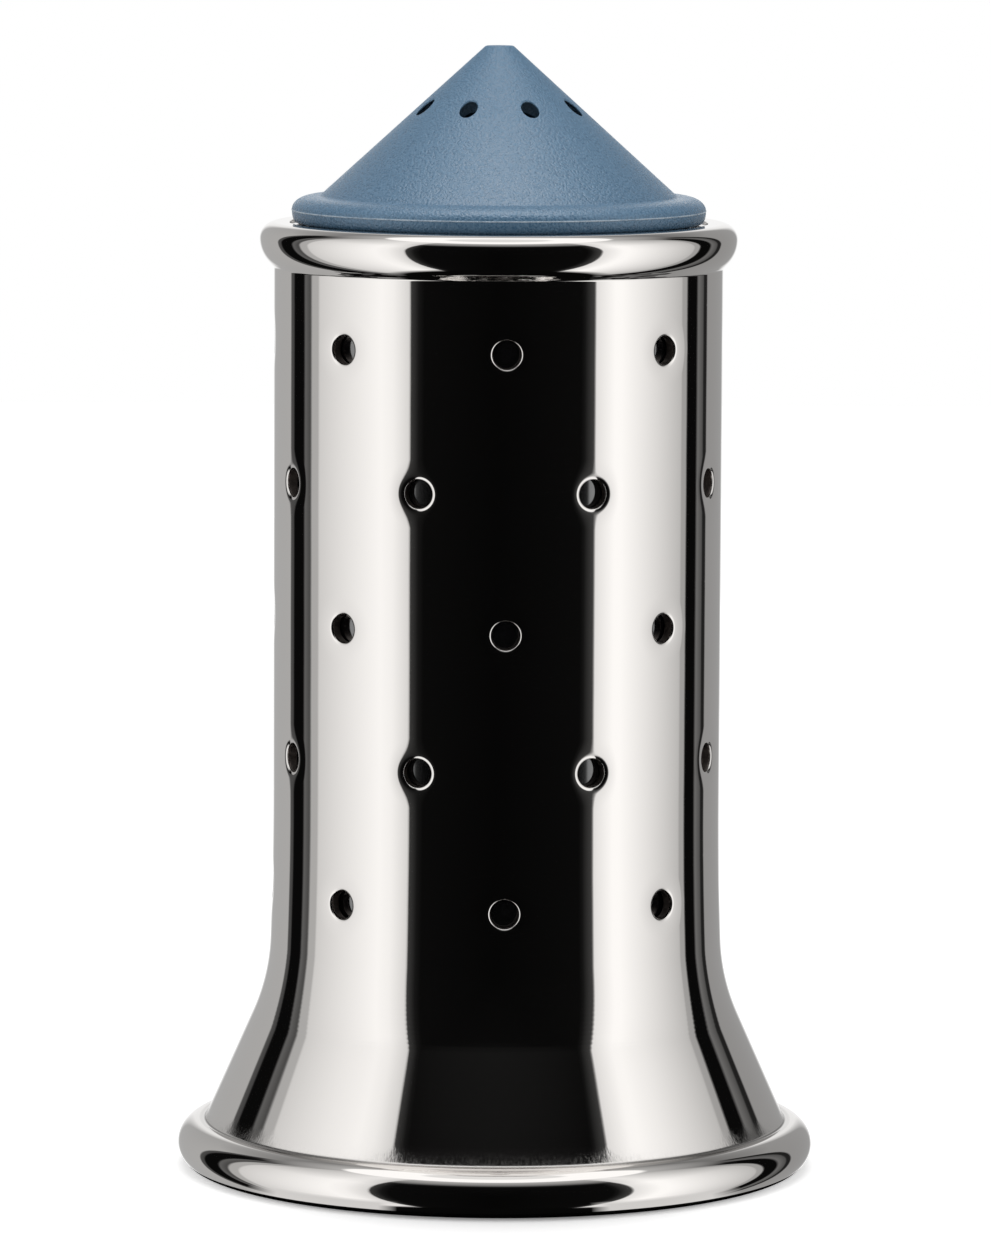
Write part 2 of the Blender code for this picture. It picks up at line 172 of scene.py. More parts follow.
# Screw: a round head with a hexagon socket, facing down
SCREW_RADIUS = 1.5 * MM
SCREW_HEAD_RADIUS = 3.0 * MM
SCREW_HEAD_BOTTOM = 0.9 * MM
SCREW_HEAD_TOP = 2.7 * MM
SCREW_HEAD_ROUND = 0.6 * MM
SCREW_TIP = 8.5 * MM
SCREW_TIP_CHAMFER = 0.3 * MM
SOCKET_RADIUS = 1.3 * MM
SOCKET_DEPTH = 1.1 * MM
SOCKET_CHAMFER = 0.12 * MM
THREAD_PITCH = 0.5 * MM
THREAD_DEPTH = 0.27 * MM

# Fineness
CAP_SEGMENTS = SALT_HOLE_COUNT * SALT_CELL_STEPS_ACROSS
MANTLE_SEGMENTS = PERFORATIONS_PER_ROW * CELL_STEPS_ACROSS
TURNED_SEGMENTS = 96
SCREW_SEGMENTS = 48
ARC_STEP = math.radians(4)
SUPPORT = 0.06 * MM
WELD = 0.002 * MM
SMOOTH_ANGLE = math.radians(35)


# Outlines, as lists of (radius, height)

def arc(centre, radii, start, end, step=ARC_STEP):
    """Points along an ellipse from one angle to another, both ends included."""
    steps = max(2, math.ceil(abs(end - start) / step))
    points = []
    for number in range(steps + 1):
        angle = start + (end - start) * number / steps
        points.append((centre[0] + radii[0] * math.cos(angle), centre[1] + radii[1] * math.sin(angle)))
    return points


def rounded_corner(before, corner, after, radius):
    """The round that replaces a corner of an outline."""
    corner = Vector(corner)
    towards_before = (Vector(before) - corner).normalized()
    towards_after = (Vector(after) - corner).normalized()
    half_angle = towards_before.angle(towards_after) / 2
    middle = (towards_before + towards_after).normalized()
    centre = corner + middle * (radius / math.sin(half_angle))
    first = corner + towards_before * (radius / math.tan(half_angle)) - centre
    last = corner + towards_after * (radius / math.tan(half_angle)) - centre
    start = math.atan2(first.y, first.x)
    sweep = math.remainder(math.atan2(last.y, last.x) - start, math.tau)
    return arc(centre, (radius, radius), start, start + sweep, ARC_STEP * 3)


def rounded_outline(corners, rounds):
    """An outline through corners, where each corner named in rounds gets that radius."""
    points = []
    for number, corner in enumerate(corners):
        if number in rounds:
            points += rounded_corner(corners[number - 1], corner, corners[number + 1], rounds[number])
        else:
            points.append(corner)
    return points


def with_supports(points):
    """Add a point close to each end of every long straight stretch, so that shading stays true there."""
    supported = [points[0]]
    for first, second in zip(points, points[1:]):
        stretch = Vector(second) - Vector(first)
        if stretch.length > SUPPORT * 6:
            along = stretch.normalized() * SUPPORT
            supported.append(tuple(Vector(first) + along))
            supported.append(tuple(Vector(second) - along))
        supported.append(second)
    return supported


# Meshes

def turned_rings(outline, segments, start_angle=0.0):
    """Rings of points for an outline turned about Z. A point on the axis gives a ring of one."""
    rings = []
    for radius, height in outline:
        count = segments if radius > WELD else 1
        ring = []
        for number in range(count):
            angle = start_angle + math.tau * number / segments
            ring.append(Vector((radius * math.cos(angle), radius * math.sin(angle), height)))
        rings.append(ring)
    return rings


def add_rings(mesh, rings):
    """Join each ring of points to the next one with faces, round the whole ring."""
    made = []
    for ring in rings:
        made.append([mesh.verts.new(point) for point in ring])
    for first, second in zip(made, made[1:]):
        count = max(len(first), len(second))
        for number in range(count):
            following = (number + 1) % count
            corners = [first[number % len(first)], first[following % len(first)]]
            corners += [second[following % len(second)], second[number % len(second)]]
            mesh.faces.new(list(dict.fromkeys(corners)))


def mesh_object(name, mesh):
    """Make an object at the origin from a mesh whose faces are then turned outwards."""
    bmesh.ops.remove_doubles(mesh, verts=mesh.verts[:], dist=WELD)
    bmesh.ops.recalc_face_normals(mesh, faces=mesh.faces[:])
    data = bpy.data.meshes.new(name)
    mesh.to_mesh(data)
    mesh.free()
    made = bpy.data.objects.new(name, data)
    bpy.context.scene.collection.objects.link(made)
    return made


def turned_object(name, outline, segments, closed=False):
    """An object turned from one outline. A closed outline comes back to its first point."""
    mesh = bmesh.new()
    points = with_supports(outline + outline[:1] if closed else outline)
    add_rings(mesh, turned_rings(points, segments))
    return mesh_object(name, mesh)


def cell_border(half_angle, half_height, steps_across, steps_up):
    """Points round a hole's cell as (angle, height, direction from the hole), from its lower right."""
    border = []
    quarter = math.pi / 2
    for number in range(steps_up):
        share = number / steps_up
        border.append((half_angle, half_height * (2 * share - 1), quarter * (share - 0.5)))
    for number in range(steps_across):
        share = number / steps_across
        border.append((half_angle * (1 - 2 * share), half_height, quarter * (share + 0.5)))
    for number in range(steps_up):
        share = number / steps_up
        border.append((-half_angle, half_height * (1 - 2 * share), quarter * (share + 1.5)))
    for number in range(steps_across):
        share = number / steps_across
        border.append((half_angle * (2 * share - 1), -half_height, quarter * (share + 2.5)))
    return border


def hole_cell(name, border, circles, edge_at, place, wall):
    """One cell of sheet round a hole: the outer skin, the hole's edge and wall, and the inner skin.

    circles are (radius, depth) from the outer skin into the hole, edge_at gives the border's (across, up)
    for an angle, a height and a depth, and place turns (across, up, depth) into a point.
    """
    def blended(circle_radius, depth, share):
        ring = []
        for angle, height, direction in border:
            circle = circle_radius * Vector((math.cos(direction), math.sin(direction)))
            across, up = circle.lerp(Vector(edge_at(angle, height, depth)), share)
            ring.append(place(across, up, depth))
        return ring

    rings = []
    for share in (1.0, 0.8, 0.6, 0.4, 0.2):
        rings.append(blended(circles[0][0], 0.0, share))
    for radius, depth in circles:
        rings.append(blended(radius, depth, 0.0))
    for share in (0.15, 0.5, 1.0):
        rings.append(blended(circles[-1][0], wall, share))
    mesh = bmesh.new()
    add_rings(mesh, rings)
    return mesh_object(name, mesh)


# Nodes

def add_node(tree, kind, inputs=None, **settings):
    """Add a node with its settings, and fill or link its inputs. A list links several into one input."""
    made = tree.nodes.new(kind)
    for name, value in settings.items():
        setattr(made, name, value)
    for key, value in (inputs or {}).items():
        for item in value if isinstance(value, list) else [value]:
            if isinstance(item, bpy.types.NodeSocket):
                tree.links.new(item, made.inputs[key])
            else:
                made.inputs[key].default_value = item
    return made


def ring_of_holes_tree():
    """Geometry nodes that repeat a hole's cell round the axis in staggered rows, welded to its skin."""
    tree = bpy.data.node_groups.new("ring_of_holes", "GeometryNodeTree")
    sockets = {
        "Cell": "NodeSocketGeometry",
        "Skin": "NodeSocketObject",
        "Holes per row": "NodeSocketInt",
        "Rows": "NodeSocketInt",
        "Row pitch": "NodeSocketFloat",
        "First turn": "NodeSocketFloat",
        "Weld distance": "NodeSocketFloat",
        "Finish": "NodeSocketMaterial",
    }
    for name, kind in sockets.items():
        tree.interface.new_socket(name=name, in_out="INPUT", socket_type=kind)
    tree.interface.new_socket(name="Piece", in_out="OUTPUT", socket_type="NodeSocketGeometry")

    given = add_node(tree, "NodeGroupInput").outputs
    number = add_node(tree, "GeometryNodeInputIndex").outputs["Index"]
    count = add_node(
        tree, "FunctionNodeIntegerMath", {0: given["Holes per row"], 1: given["Rows"]}, operation="MULTIPLY"
    ).outputs[0]
    row = add_node(
        tree, "FunctionNodeIntegerMath", {0: number, 1: given["Holes per row"]}, operation="DIVIDE_FLOOR"
    ).outputs[0]
    stagger = add_node(tree, "FunctionNodeIntegerMath", {0: row, 1: 2}, operation="MODULO").outputs[0]
    half_steps = add_node(
        tree, "ShaderNodeMath", {0: number, 1: 2.0, 2: stagger}, operation="MULTIPLY_ADD"
    ).outputs[0]
    half_turn_share = add_node(
        tree, "ShaderNodeMath", {0: half_steps, 1: given["Holes per row"]}, operation="DIVIDE"
    ).outputs[0]
    turned = {0: half_turn_share, 1: math.pi, 2: given["First turn"]}
    turn = add_node(tree, "ShaderNodeMath", turned, operation="MULTIPLY_ADD").outputs[0]
    rows_down = {0: row, 1: given["Row pitch"]}
    drop = add_node(tree, "ShaderNodeMath", rows_down, operation="MULTIPLY").outputs[0]
    height = add_node(tree, "ShaderNodeMath", {0: 0.0, 1: drop}, operation="SUBTRACT").outputs[0]
    place = add_node(tree, "ShaderNodeCombineXYZ", {"Z": height}).outputs[0]
    rotation = add_node(tree, "ShaderNodeCombineXYZ", {"Z": turn}).outputs[0]
    points = add_node(tree, "GeometryNodePoints", {"Count": count, "Position": place}).outputs[0]
    cells = add_node(
        tree,
        "GeometryNodeInstanceOnPoints",
        {"Points": points, "Instance": given["Cell"], "Rotation": rotation},
    ).outputs[0]
    skin = add_node(tree, "GeometryNodeObjectInfo", {"Object": given["Skin"]}).outputs["Geometry"]
    joined = add_node(tree, "GeometryNodeJoinGeometry", {"Geometry": [cells, skin]}).outputs[0]
    realized = add_node(tree, "GeometryNodeRealizeInstances", {"Geometry": joined}).outputs[0]
    welded = add_node(
        tree, "GeometryNodeMergeByDistance", {"Geometry": realized, "Distance": given["Weld distance"]}
    ).outputs[0]
    finished = add_node(
        tree, "GeometryNodeSetMaterial", {"Geometry": welded, "Material": given["Finish"]}
    ).outputs[0]
    add_node(tree, "NodeGroupOutput", {"Piece": finished})
    return tree


def holed_piece(name, tree, cell, skin, finish, sizes):
    """Run the tree on a cell and its skin, and keep the result as a plain mesh."""
    modifier = cell.modifiers.new("ring_of_holes", "NODES")
    modifier.node_group = tree
    values = {"Skin": skin, "Weld distance": WELD, "Finish": finish, **sizes}
    for item in tree.interface.items_tree:
        if item.name in values:
            modifier[item.identifier] = values[item.name]
    graph = bpy.context.evaluated_depsgraph_get()
    data = bpy.data.meshes.new_from_object(cell.evaluated_get(graph))
    mesh = bmesh.new()
    mesh.from_mesh(data)
    bpy.data.objects.remove(cell)
    bpy.data.objects.remove(skin)
    return mesh_object(name, mesh)


# Finishes

def linear(code):
    """A colour of linear light from an sRGB hex value."""
    channels = []
    for start in (1, 3, 5):
        value = int(code[start:start + 2], 16) / 255
        channels.append(value / 12.92 if value <= 0.04045 else ((value + 0.055) / 1.055) ** 2.4)
    return (*channels, 1.0)


def new_finish(name, colour, roughness, metallic=0.0):
    """A material, its tree, its shader and its object coordinates."""
    finish = bpy.data.materials.new(name)
    finish.use_nodes = True
    tree = finish.node_tree
    shader = tree.nodes["Principled BSDF"]
    shader.inputs["Base Color"].default_value = linear(colour)
    shader.inputs["Roughness"].default_value = roughness
    shader.inputs["Metallic"].default_value = metallic
    place = add_node(tree, "ShaderNodeTexCoord").outputs["Object"]
    return finish, tree, shader, place


def grain(tree, place, size, detail=2.0, stretch=(1.0, 1.0, 1.0)):
    """Noise whose grains have a real size; stretch lengthens them along an axis."""
    scale = tuple(1.0 / (size * factor) for factor in stretch)
    mapped = add_node(tree, "ShaderNodeMapping", {"Vector": place, "Scale": scale}).outputs[0]
    return add_node(
        tree, "ShaderNodeTexNoise", {"Vector": mapped, "Scale": 1.0, "Detail": detail}
    ).outputs["Fac"]


def ramp(tree, value, low, high, to_low, to_high):
    """Map a range of one value onto a range of another, held at both ends."""
    inputs = {"Value": value, "From Min": low, "From Max": high, "To Min": to_low, "To Max": to_high}
    return add_node(tree, "ShaderNodeMapRange", inputs).outputs[0]


def bump(tree, height, distance, strength=1.0, normal=None):
    """A bump of a real depth."""
    inputs = {"Height": height, "Distance": distance, "Strength": strength}
    if normal is not None:
        inputs["Normal"] = normal
    return add_node(tree, "ShaderNodeBump", inputs).outputs[0]


def mirror_polished_steel():
    """18/10 stainless steel, spun and buffed: a mirror with a trace of buffing lines round the tube."""
    finish, tree, shader, place = new_finish("mirror_polished_stainless_steel", "#d8d5d2", 0.03, 1.0)
    # Buffing lines are a few microns apart on the real one; 0.15 mm is the finest that shows here
    lines = grain(tree, place, 0.15 * MM, 3.0, (60.0, 60.0, 1.0))
    wave = grain(tree, place, 7.0 * MM, 1.0)
    # The buff can't reach right into the foot's crease, which stays a little dull, with upright drag marks
    height = add_node(tree, "ShaderNodeSeparateXYZ", {0: place}).outputs["Z"]
    foot_crease = ramp(tree, height, FOOT_CREASE_HEIGHT - 0.06 * MM, FOOT_CREASE_HEIGHT, 0.0, 1.0)
    foot_fade = ramp(tree, height, FOOT_CREASE_HEIGHT + 0.05 * MM, FOOT_DULL_TOP, 1.0, 0.0)
    both = {0: foot_crease, 1: foot_fade}
    at_foot = add_node(tree, "ShaderNodeMath", both, operation="MULTIPLY").outputs[0]
    drag = grain(tree, place, 0.16 * MM, 2.0, (1.0, 1.0, 10.0))
    drag_marks = add_node(tree, "ShaderNodeMath", {0: drag, 1: at_foot}, operation="MULTIPLY").outputs[0]
    waved = bump(tree, wave, 0.006 * MM)
    lined = bump(tree, lines, 0.0003 * MM, normal=waved)
    marked = bump(tree, drag_marks, 0.007 * MM, normal=lined)
    # Pressing the rim onto the tube leaves fine creases along its seat, 0.2 mm apart
    ripple = ramp(tree, grain(tree, place, 0.2 * MM, 1.0, (14.0, 14.0, 1.0)), 0.0, 1.0, -0.5, 0.5)
    seat_top = ramp(tree, height, RIM_SEAT_TOP, RIM_SEAT_TOP - 0.05 * MM, 0.0, 1.0)
    seat_bottom = ramp(tree, height, RIM_SEAT_BOTTOM, RIM_SEAT_BOTTOM + 0.05 * MM, 0.0, 1.0)
    both = {0: seat_top, 1: seat_bottom}
    at_seat = add_node(tree, "ShaderNodeMath", both, operation="MULTIPLY").outputs[0]
    seat_marks = add_node(tree, "ShaderNodeMath", {0: ripple, 1: at_seat}, operation="MULTIPLY").outputs[0]
    seated = bump(tree, seat_marks, 0.018 * MM, normal=marked)
    buffed = ramp(tree, lines, 0.3, 0.7, 0.018, 0.034)
    dull_streaks = ramp(tree, drag, 0.3, 0.7, 0.08, 0.24)
    dulled = add_node(
        tree, "ShaderNodeMath", {0: at_foot, 1: dull_streaks, 2: buffed}, operation="MULTIPLY_ADD"
    ).outputs[0]
    # The punched walls of the perforations, and the bore, are left unbuffed and so rougher; the darker grey
    # colour mixed in there is painted shade inside these recesses
    flattened = {0: place, 1: (1.0, 1.0, 0.0)}
    across = add_node(tree, "ShaderNodeVectorMath", flattened, operation="MULTIPLY").outputs[0]
    reach = add_node(tree, "ShaderNodeVectorMath", {0: across}, operation="LENGTH").outputs["Value"]
    bare_radius = TUBE_RADIUS - BARE_DEPTH
    inside = ramp(tree, reach, bare_radius - 0.06 * MM, bare_radius, 1.0, 0.0)
    under_rim = ramp(tree, height, BARE_BORE_TOP + 0.5 * MM, BARE_BORE_TOP, 0.0, 1.0)
    unbuffed_and_shaded = add_node(tree, "ShaderNodeMath", {0: inside, 1: under_rim}, operation="MULTIPLY").outputs[0]
    rougher = {0: unbuffed_and_shaded, 1: BARE_ROUGHNESS, 2: dulled}
    dulled = add_node(tree, "ShaderNodeMath", rougher, operation="MULTIPLY_ADD").outputs[0]
    colours = {"Factor": unbuffed_and_shaded, 6: linear("#d8d5d2"), 7: linear("#958d88")}
    shaded_bare_colour = add_node(tree, "ShaderNodeMix", colours, data_type="RGBA").outputs[2]
    # A thin grey line along the foot's crease is painted shade, standing in for the crease's dark
    # reflection
    crease = FOOT_CREASE_HEIGHT
    over_line = ramp(tree, height, crease - 0.07 * MM, crease - 0.03 * MM, 0.0, 1.0)
    under_line = ramp(tree, height, crease + 0.01 * MM, crease + 0.06 * MM, 0.6, 0.0)
    both = {0: over_line, 1: under_line}
    crease_shade_line = add_node(tree, "ShaderNodeMath", both, operation="MULTIPLY").outputs[0]
    colours = {"Factor": crease_shade_line, 6: shaded_bare_colour, 7: linear("#4d4a48")}
    crease_shaded_colour = add_node(tree, "ShaderNodeMix", colours, data_type="RGBA").outputs[2]
    tree.links.new(crease_shaded_colour, shader.inputs["Base Color"])
    tree.links.new(seated, shader.inputs["Normal"])
    tree.links.new(dulled, shader.inputs["Roughness"])
    return finish


def matt_blue_plastic():
    """ABS moulded in a spark-eroded tool: even blue and matt, with a fine sandy grain that sparkles."""
    finish, tree, shader, place = new_finish("spark_eroded_blue_abs", "#577c9a", 0.36)
    shader.inputs["Specular IOR Level"].default_value = 0.72
    # The tool's grain is near 0.05 mm; it is drawn at 0.2 mm so that it shows
    sand = grain(tree, place, 0.2 * MM, 2.0)
    cloud = grain(tree, place, 4.0 * MM, 2.0)
    shade = ramp(tree, sand, 0.3, 0.7, 0.0, 1.0)
    colours = {"Factor": shade, 6: linear("#4b708e"), 7: linear("#6388a6")}
    grained = add_node(tree, "ShaderNodeMix", colours, data_type="RGBA").outputs[2]
    # The mould closed round the flange's widest line, and left a thin ridge; the pale line along it is
    # partly rubbed wear and partly a painted highlight on the ridge
    height = add_node(tree, "ShaderNodeSeparateXYZ", {0: place}).outputs["Z"]
    from_waist = {0: height, 1: FLANGE_WAIST}
    above_line = add_node(tree, "ShaderNodeMath", from_waist, operation="SUBTRACT").outputs[0]
    off_line = add_node(tree, "ShaderNodeMath", {0: above_line}, operation="ABSOLUTE").outputs[0]
    on_line = ramp(tree, off_line, PARTING_LINE_WIDTH * 0.3, PARTING_LINE_WIDTH * 0.6, 1.0, 0.0)
    rubbed_and_highlit = ramp(tree, grain(tree, place, 0.9 * MM, 3.0), 0.3, 0.6, 0.35, 0.9)
    worn_and_highlit_line = add_node(tree, "ShaderNodeMath", {0: on_line, 1: rubbed_and_highlit}, operation="MULTIPLY").outputs[0]
    colours = {"Factor": worn_and_highlit_line, 6: grained, 7: linear("#c3d1dc")}
    lined = add_node(tree, "ShaderNodeMix", colours, data_type="RGBA").outputs[2]
    # Fingers have worn the grain flatter, and so glossier, low on the cone
    worn = ramp(tree, height, FLANGE_TOP, CONE_TOP, 0.31, 0.52)
    patchy = ramp(tree, cloud, 0.3, 0.7, -0.02, 0.02)
    sandy = ramp(tree, sand, 0.3, 0.7, -0.16, 0.16)
    worn = add_node(tree, "ShaderNodeMath", {0: worn, 1: patchy}, operation="ADD").outputs[0]
    roughness = add_node(tree, "ShaderNodeMath", {0: worn, 1: sandy}, operation="ADD").outputs[0]
    tree.links.new(lined, shader.inputs["Base Color"])
    tree.links.new(roughness, shader.inputs["Roughness"])
    tree.links.new(bump(tree, sand, 0.09 * MM), shader.inputs["Normal"])
    return finish


def glossy_black_moulding():
    """Black ABS from a polished tool: deep gloss with faint flow lines."""
    finish, tree, shader, place = new_finish("glossy_black_abs", "#0d0d0e", 0.12)
    shader.inputs["IOR"].default_value = 1.75
    shader.inputs["Coat Weight"].default_value = 1.0
    shader.inputs["Coat IOR"].default_value = 1.95
    shader.inputs["Coat Roughness"].default_value = 0.05
    flow = grain(tree, place, 3.0 * MM, 2.0, (1.0, 1.0, 4.0))
    tree.links.new(ramp(tree, flow, 0.3, 0.7, 0.08, 0.16), shader.inputs["Roughness"])
    tree.links.new(bump(tree, flow, 0.004 * MM), shader.inputs["Normal"])
    return finish


def black_silicone():
    """Moulded silicone rubber: soft black with a dry, slightly dusty skin."""
    finish, tree, shader, place = new_finish("black_silicone_rubber", "#171717", 0.6)
    dust = grain(tree, place, 0.3 * MM, 3.0)
    mixed = add_node(
        tree,
        "ShaderNodeMix",
        {"Factor": ramp(tree, dust, 0.45, 0.8, 0.0, 0.4), 6: linear("#131313"), 7: linear("#2c2c2b")},
        data_type="RGBA",
    ).outputs[2]
    tree.links.new(mixed, shader.inputs["Base Color"])
    tree.links.new(bump(tree, dust, 0.01 * MM), shader.inputs["Normal"])
    return finish


def satin_black_moulding():
    """Black polypropylene with a satin moulded skin, scuffed a little where it meets the hand."""
    finish, tree, shader, place = new_finish("satin_black_polypropylene", "#1b1b1d", 0.45)
    skin = grain(tree, place, 0.25 * MM, 2.0)
    scuff = grain(tree, place, 1.6 * MM, 4.0)
    mixed = add_node(
        tree,
        "ShaderNodeMix",
        {"Factor": ramp(tree, scuff, 0.5, 0.8, 0.0, 0.5), 6: linear("#19191b"), 7: linear("#303032")},
        data_type="RGBA",
    ).outputs[2]
    tree.links.new(mixed, shader.inputs["Base Color"])
    tree.links.new(ramp(tree, scuff, 0.3, 0.7, 0.38, 0.55), shader.inputs["Roughness"])
    tree.links.new(bump(tree, skin, 0.02 * MM), shader.inputs["Normal"])
    return finish


def zinc_plated_steel():
    """Turned steel with bright zinc plating: silvery, with rings from the lathe and a slight bloom."""
    finish, tree, shader, place = new_finish("zinc_plated_turned_steel", "#b9bbbd", 0.3, 1.0)
    bloom = grain(tree, place, 0.8 * MM, 3.0)
    rings = grain(tree, place, 0.08 * MM, 1.0, (20.0, 20.0, 1.0))
    tree.links.new(ramp(tree, bloom, 0.3, 0.7, 0.22, 0.4), shader.inputs["Roughness"])
    tree.links.new(bump(tree, rings, 0.003 * MM), shader.inputs["Normal"])
    return finish


# Pieces

def mantle_rim_outline(cell_top):
    """From the top of the perforated tube up round the curled rim, and down inside."""
    underside_centre = (RIM_RADIUS - RIM_UNDERSIDE, RIM_WAIST)
    underside = arc(underside_centre, (RIM_UNDERSIDE, RIM_UNDERSIDE), -RIM_SEAT_ANGLE, 0, ARC_STEP / 2)
    # The curl's edge is pressed onto the tube as a short straight seat
    seat_width = underside[0][0] - TUBE_RADIUS
    crease = (TUBE_RADIUS, underside[0][1] - seat_width / math.tan(RIM_SEAT_ANGLE))
    shoulder_centre = (RIM_RADIUS - RIM_SHOULDER, RIM_WAIST)
    shoulder = arc(shoulder_centre, (RIM_SHOULDER, RIM_HEIGHT - RIM_WAIST), 0, math.pi / 2)
    outline = [(TUBE_RADIUS, cell_top)]
    outline += rounded_corner(outline[0], crease, underside[0], RIM_CREASE_ROUND)
    outline += underside + shoulder[1:]
    lip_bottom = RIM_HEIGHT - RIM_LIP_DEPTH
    corners = [shoulder[-1], (RIM_LIP_RADIUS, RIM_HEIGHT), (RIM_LIP_RADIUS, lip_bottom)]
    corners += [(BORE, lip_bottom - RIM_LIP_DEPTH), (BORE, cell_top)]
    outline += rounded_outline(corners, {1: RIM_INNER_ROUND})[1:]
    return outline


def swell_at(height):
    """How far the tube has opened at a height, and how steeply, before the flare bends out."""
    drop = max(SWELL_TOP - max(height, TUBE_BOTTOM), 0.0)
    return drop * drop / (2 * SWELL_BEND), drop / SWELL_BEND


def swell_tube(mantle):
    """Open the tube a little towards the flare, as spinning leaves it."""
    for vertex in mantle.data.vertices:
        reach = math.hypot(vertex.co.x, vertex.co.y)
        growth = 1 + swell_at(vertex.co.z)[0] / reach
        vertex.co.x *= growth
        vertex.co.y *= growth


def mantle_foot_outline(cell_bottom):
    """From the bottom of the perforated tube down the flare, round the curled foot and up inside."""
    flat_angle = math.asin(FOOT_FLAT_HALF_WIDTH / FOOT_CURL)
    foot_centre = Vector((FOOT_RADIUS - FOOT_CURL, FOOT_CURL * math.cos(flat_angle)))
    foot_radii = (FOOT_CURL, FOOT_CURL)
    crease = foot_centre + FOOT_CURL * Vector((math.cos(FOOT_CREASE_ANGLE), math.sin(FOOT_CREASE_ANGLE)))
    swell, slope = swell_at(TUBE_BOTTOM)
    bend_start = math.pi + math.atan(slope)
    bend_end = math.pi + FLARE_ANGLE
    bend_centre_radius = TUBE_RADIUS + swell - FLARE_BEND * math.cos(bend_start)
    bend_centre = (bend_centre_radius, TUBE_BOTTOM - FLARE_BEND * math.sin(bend_start))
    outer_bend = arc(bend_centre, (FLARE_BEND, FLARE_BEND), bend_start, bend_end, ARC_STEP / 3)
    inner_bend = arc(bend_centre, (FLARE_BEND + SHEET, FLARE_BEND + SHEET), bend_end, bend_start, ARC_STEP)

    down_the_flare = Vector((math.sin(FLARE_ANGLE), -math.cos(FLARE_ANGLE)))
    offset = Vector(inner_bend[0]) - foot_centre
    along = offset.dot(down_the_flare)
    reach = math.sqrt(along * along - offset.length_squared + FOOT_CURL * FOOT_CURL)
    inner_crease = Vector(inner_bend[0]) - down_the_flare * (along + reach)
    inner_offset = inner_crease - foot_centre
    inner_angle = math.atan2(inner_offset.y, inner_offset.x)

    curl_front = arc(foot_centre, foot_radii, FOOT_CREASE_ANGLE, flat_angle - math.pi / 2)
    back_start = -math.pi / 2 - flat_angle
    curl_back = arc(foot_centre, foot_radii, back_start, inner_angle - math.tau, ARC_STEP * 2)
    fillet = rounded_corner(outer_bend[-1], crease, curl_front[2], FOOT_CREASE_ROUND)
    fillet_reach = (Vector(fillet[-1]) - crease).length
    outline = [(TUBE_RADIUS, cell_bottom)]
    outline += outer_bend
    outline += fillet
    outline += [point for point in curl_front if (Vector(point) - crease).length > fillet_reach * 1.2]
    outline += curl_back
    outline += inner_bend
    outline += [(BORE, cell_bottom)]
    # The whole mantle is swelled later on, so what is drawn at its final size here is drawn in first
    drawn_in = []
    for radius, height in outline:
        drawn_in.append((radius - swell if height < TUBE_BOTTOM + WELD else radius, height))
    return drawn_in


def ledge_outline():
    """The ring that is spot-welded inside the tube's lower end, for the container to stand on."""
    outside = BORE - LEDGE_WELD_GAP
    corners = [(outside, LEDGE_BOTTOM), (LEDGE_BORE, LEDGE_BOTTOM), (LEDGE_BORE, LEDGE_TOP)]
    corners += [(outside, LEDGE_TOP), (outside, LEDGE_BOTTOM)]
    return rounded_outline(corners, {1: LEDGE_EDGE_ROUND, 2: LEDGE_EDGE_ROUND})


def perforation_circles():
    """Circles (radius, depth) from the dished sheet over the buffed edge and through the hole."""
    circles = []
    dish_width = DISH_RADIUS - BUFFED_RADIUS
    for share in (0.0, 0.2, 0.4, 0.6, 0.8):
        circles.append((DISH_RADIUS - dish_width * share, DISH_DEPTH * share * share))
    edge_start = PERFORATION_RADIUS + BURR_ROUND
    dish_slope = 2 * DISH_DEPTH / dish_width
    buffed_width = BUFFED_RADIUS - edge_start
    steepening = BUFFED_DEPTH - DISH_DEPTH - dish_slope * buffed_width
    for share in (0.0, 0.2, 0.4, 0.6, 0.8, 1.0):
        depth = DISH_DEPTH + dish_slope * buffed_width * share + steepening * share * share
        circles.append((BUFFED_RADIUS - buffed_width * share, depth))
    circles.append((PERFORATION_RADIUS + BURR_ROUND * 0.3, BUFFED_DEPTH + BURR_ROUND * 0.5))
    circles.append((PERFORATION_RADIUS, BUFFED_DEPTH + BURR_ROUND * 1.2))
    circles.append((PERFORATION_RADIUS, SHEET / 2))
    circles.append((PERFORATION_RADIUS, SHEET - BURR_ROUND))
    circles.append((PERFORATION_RADIUS + BURR_ROUND, SHEET))
    return circles


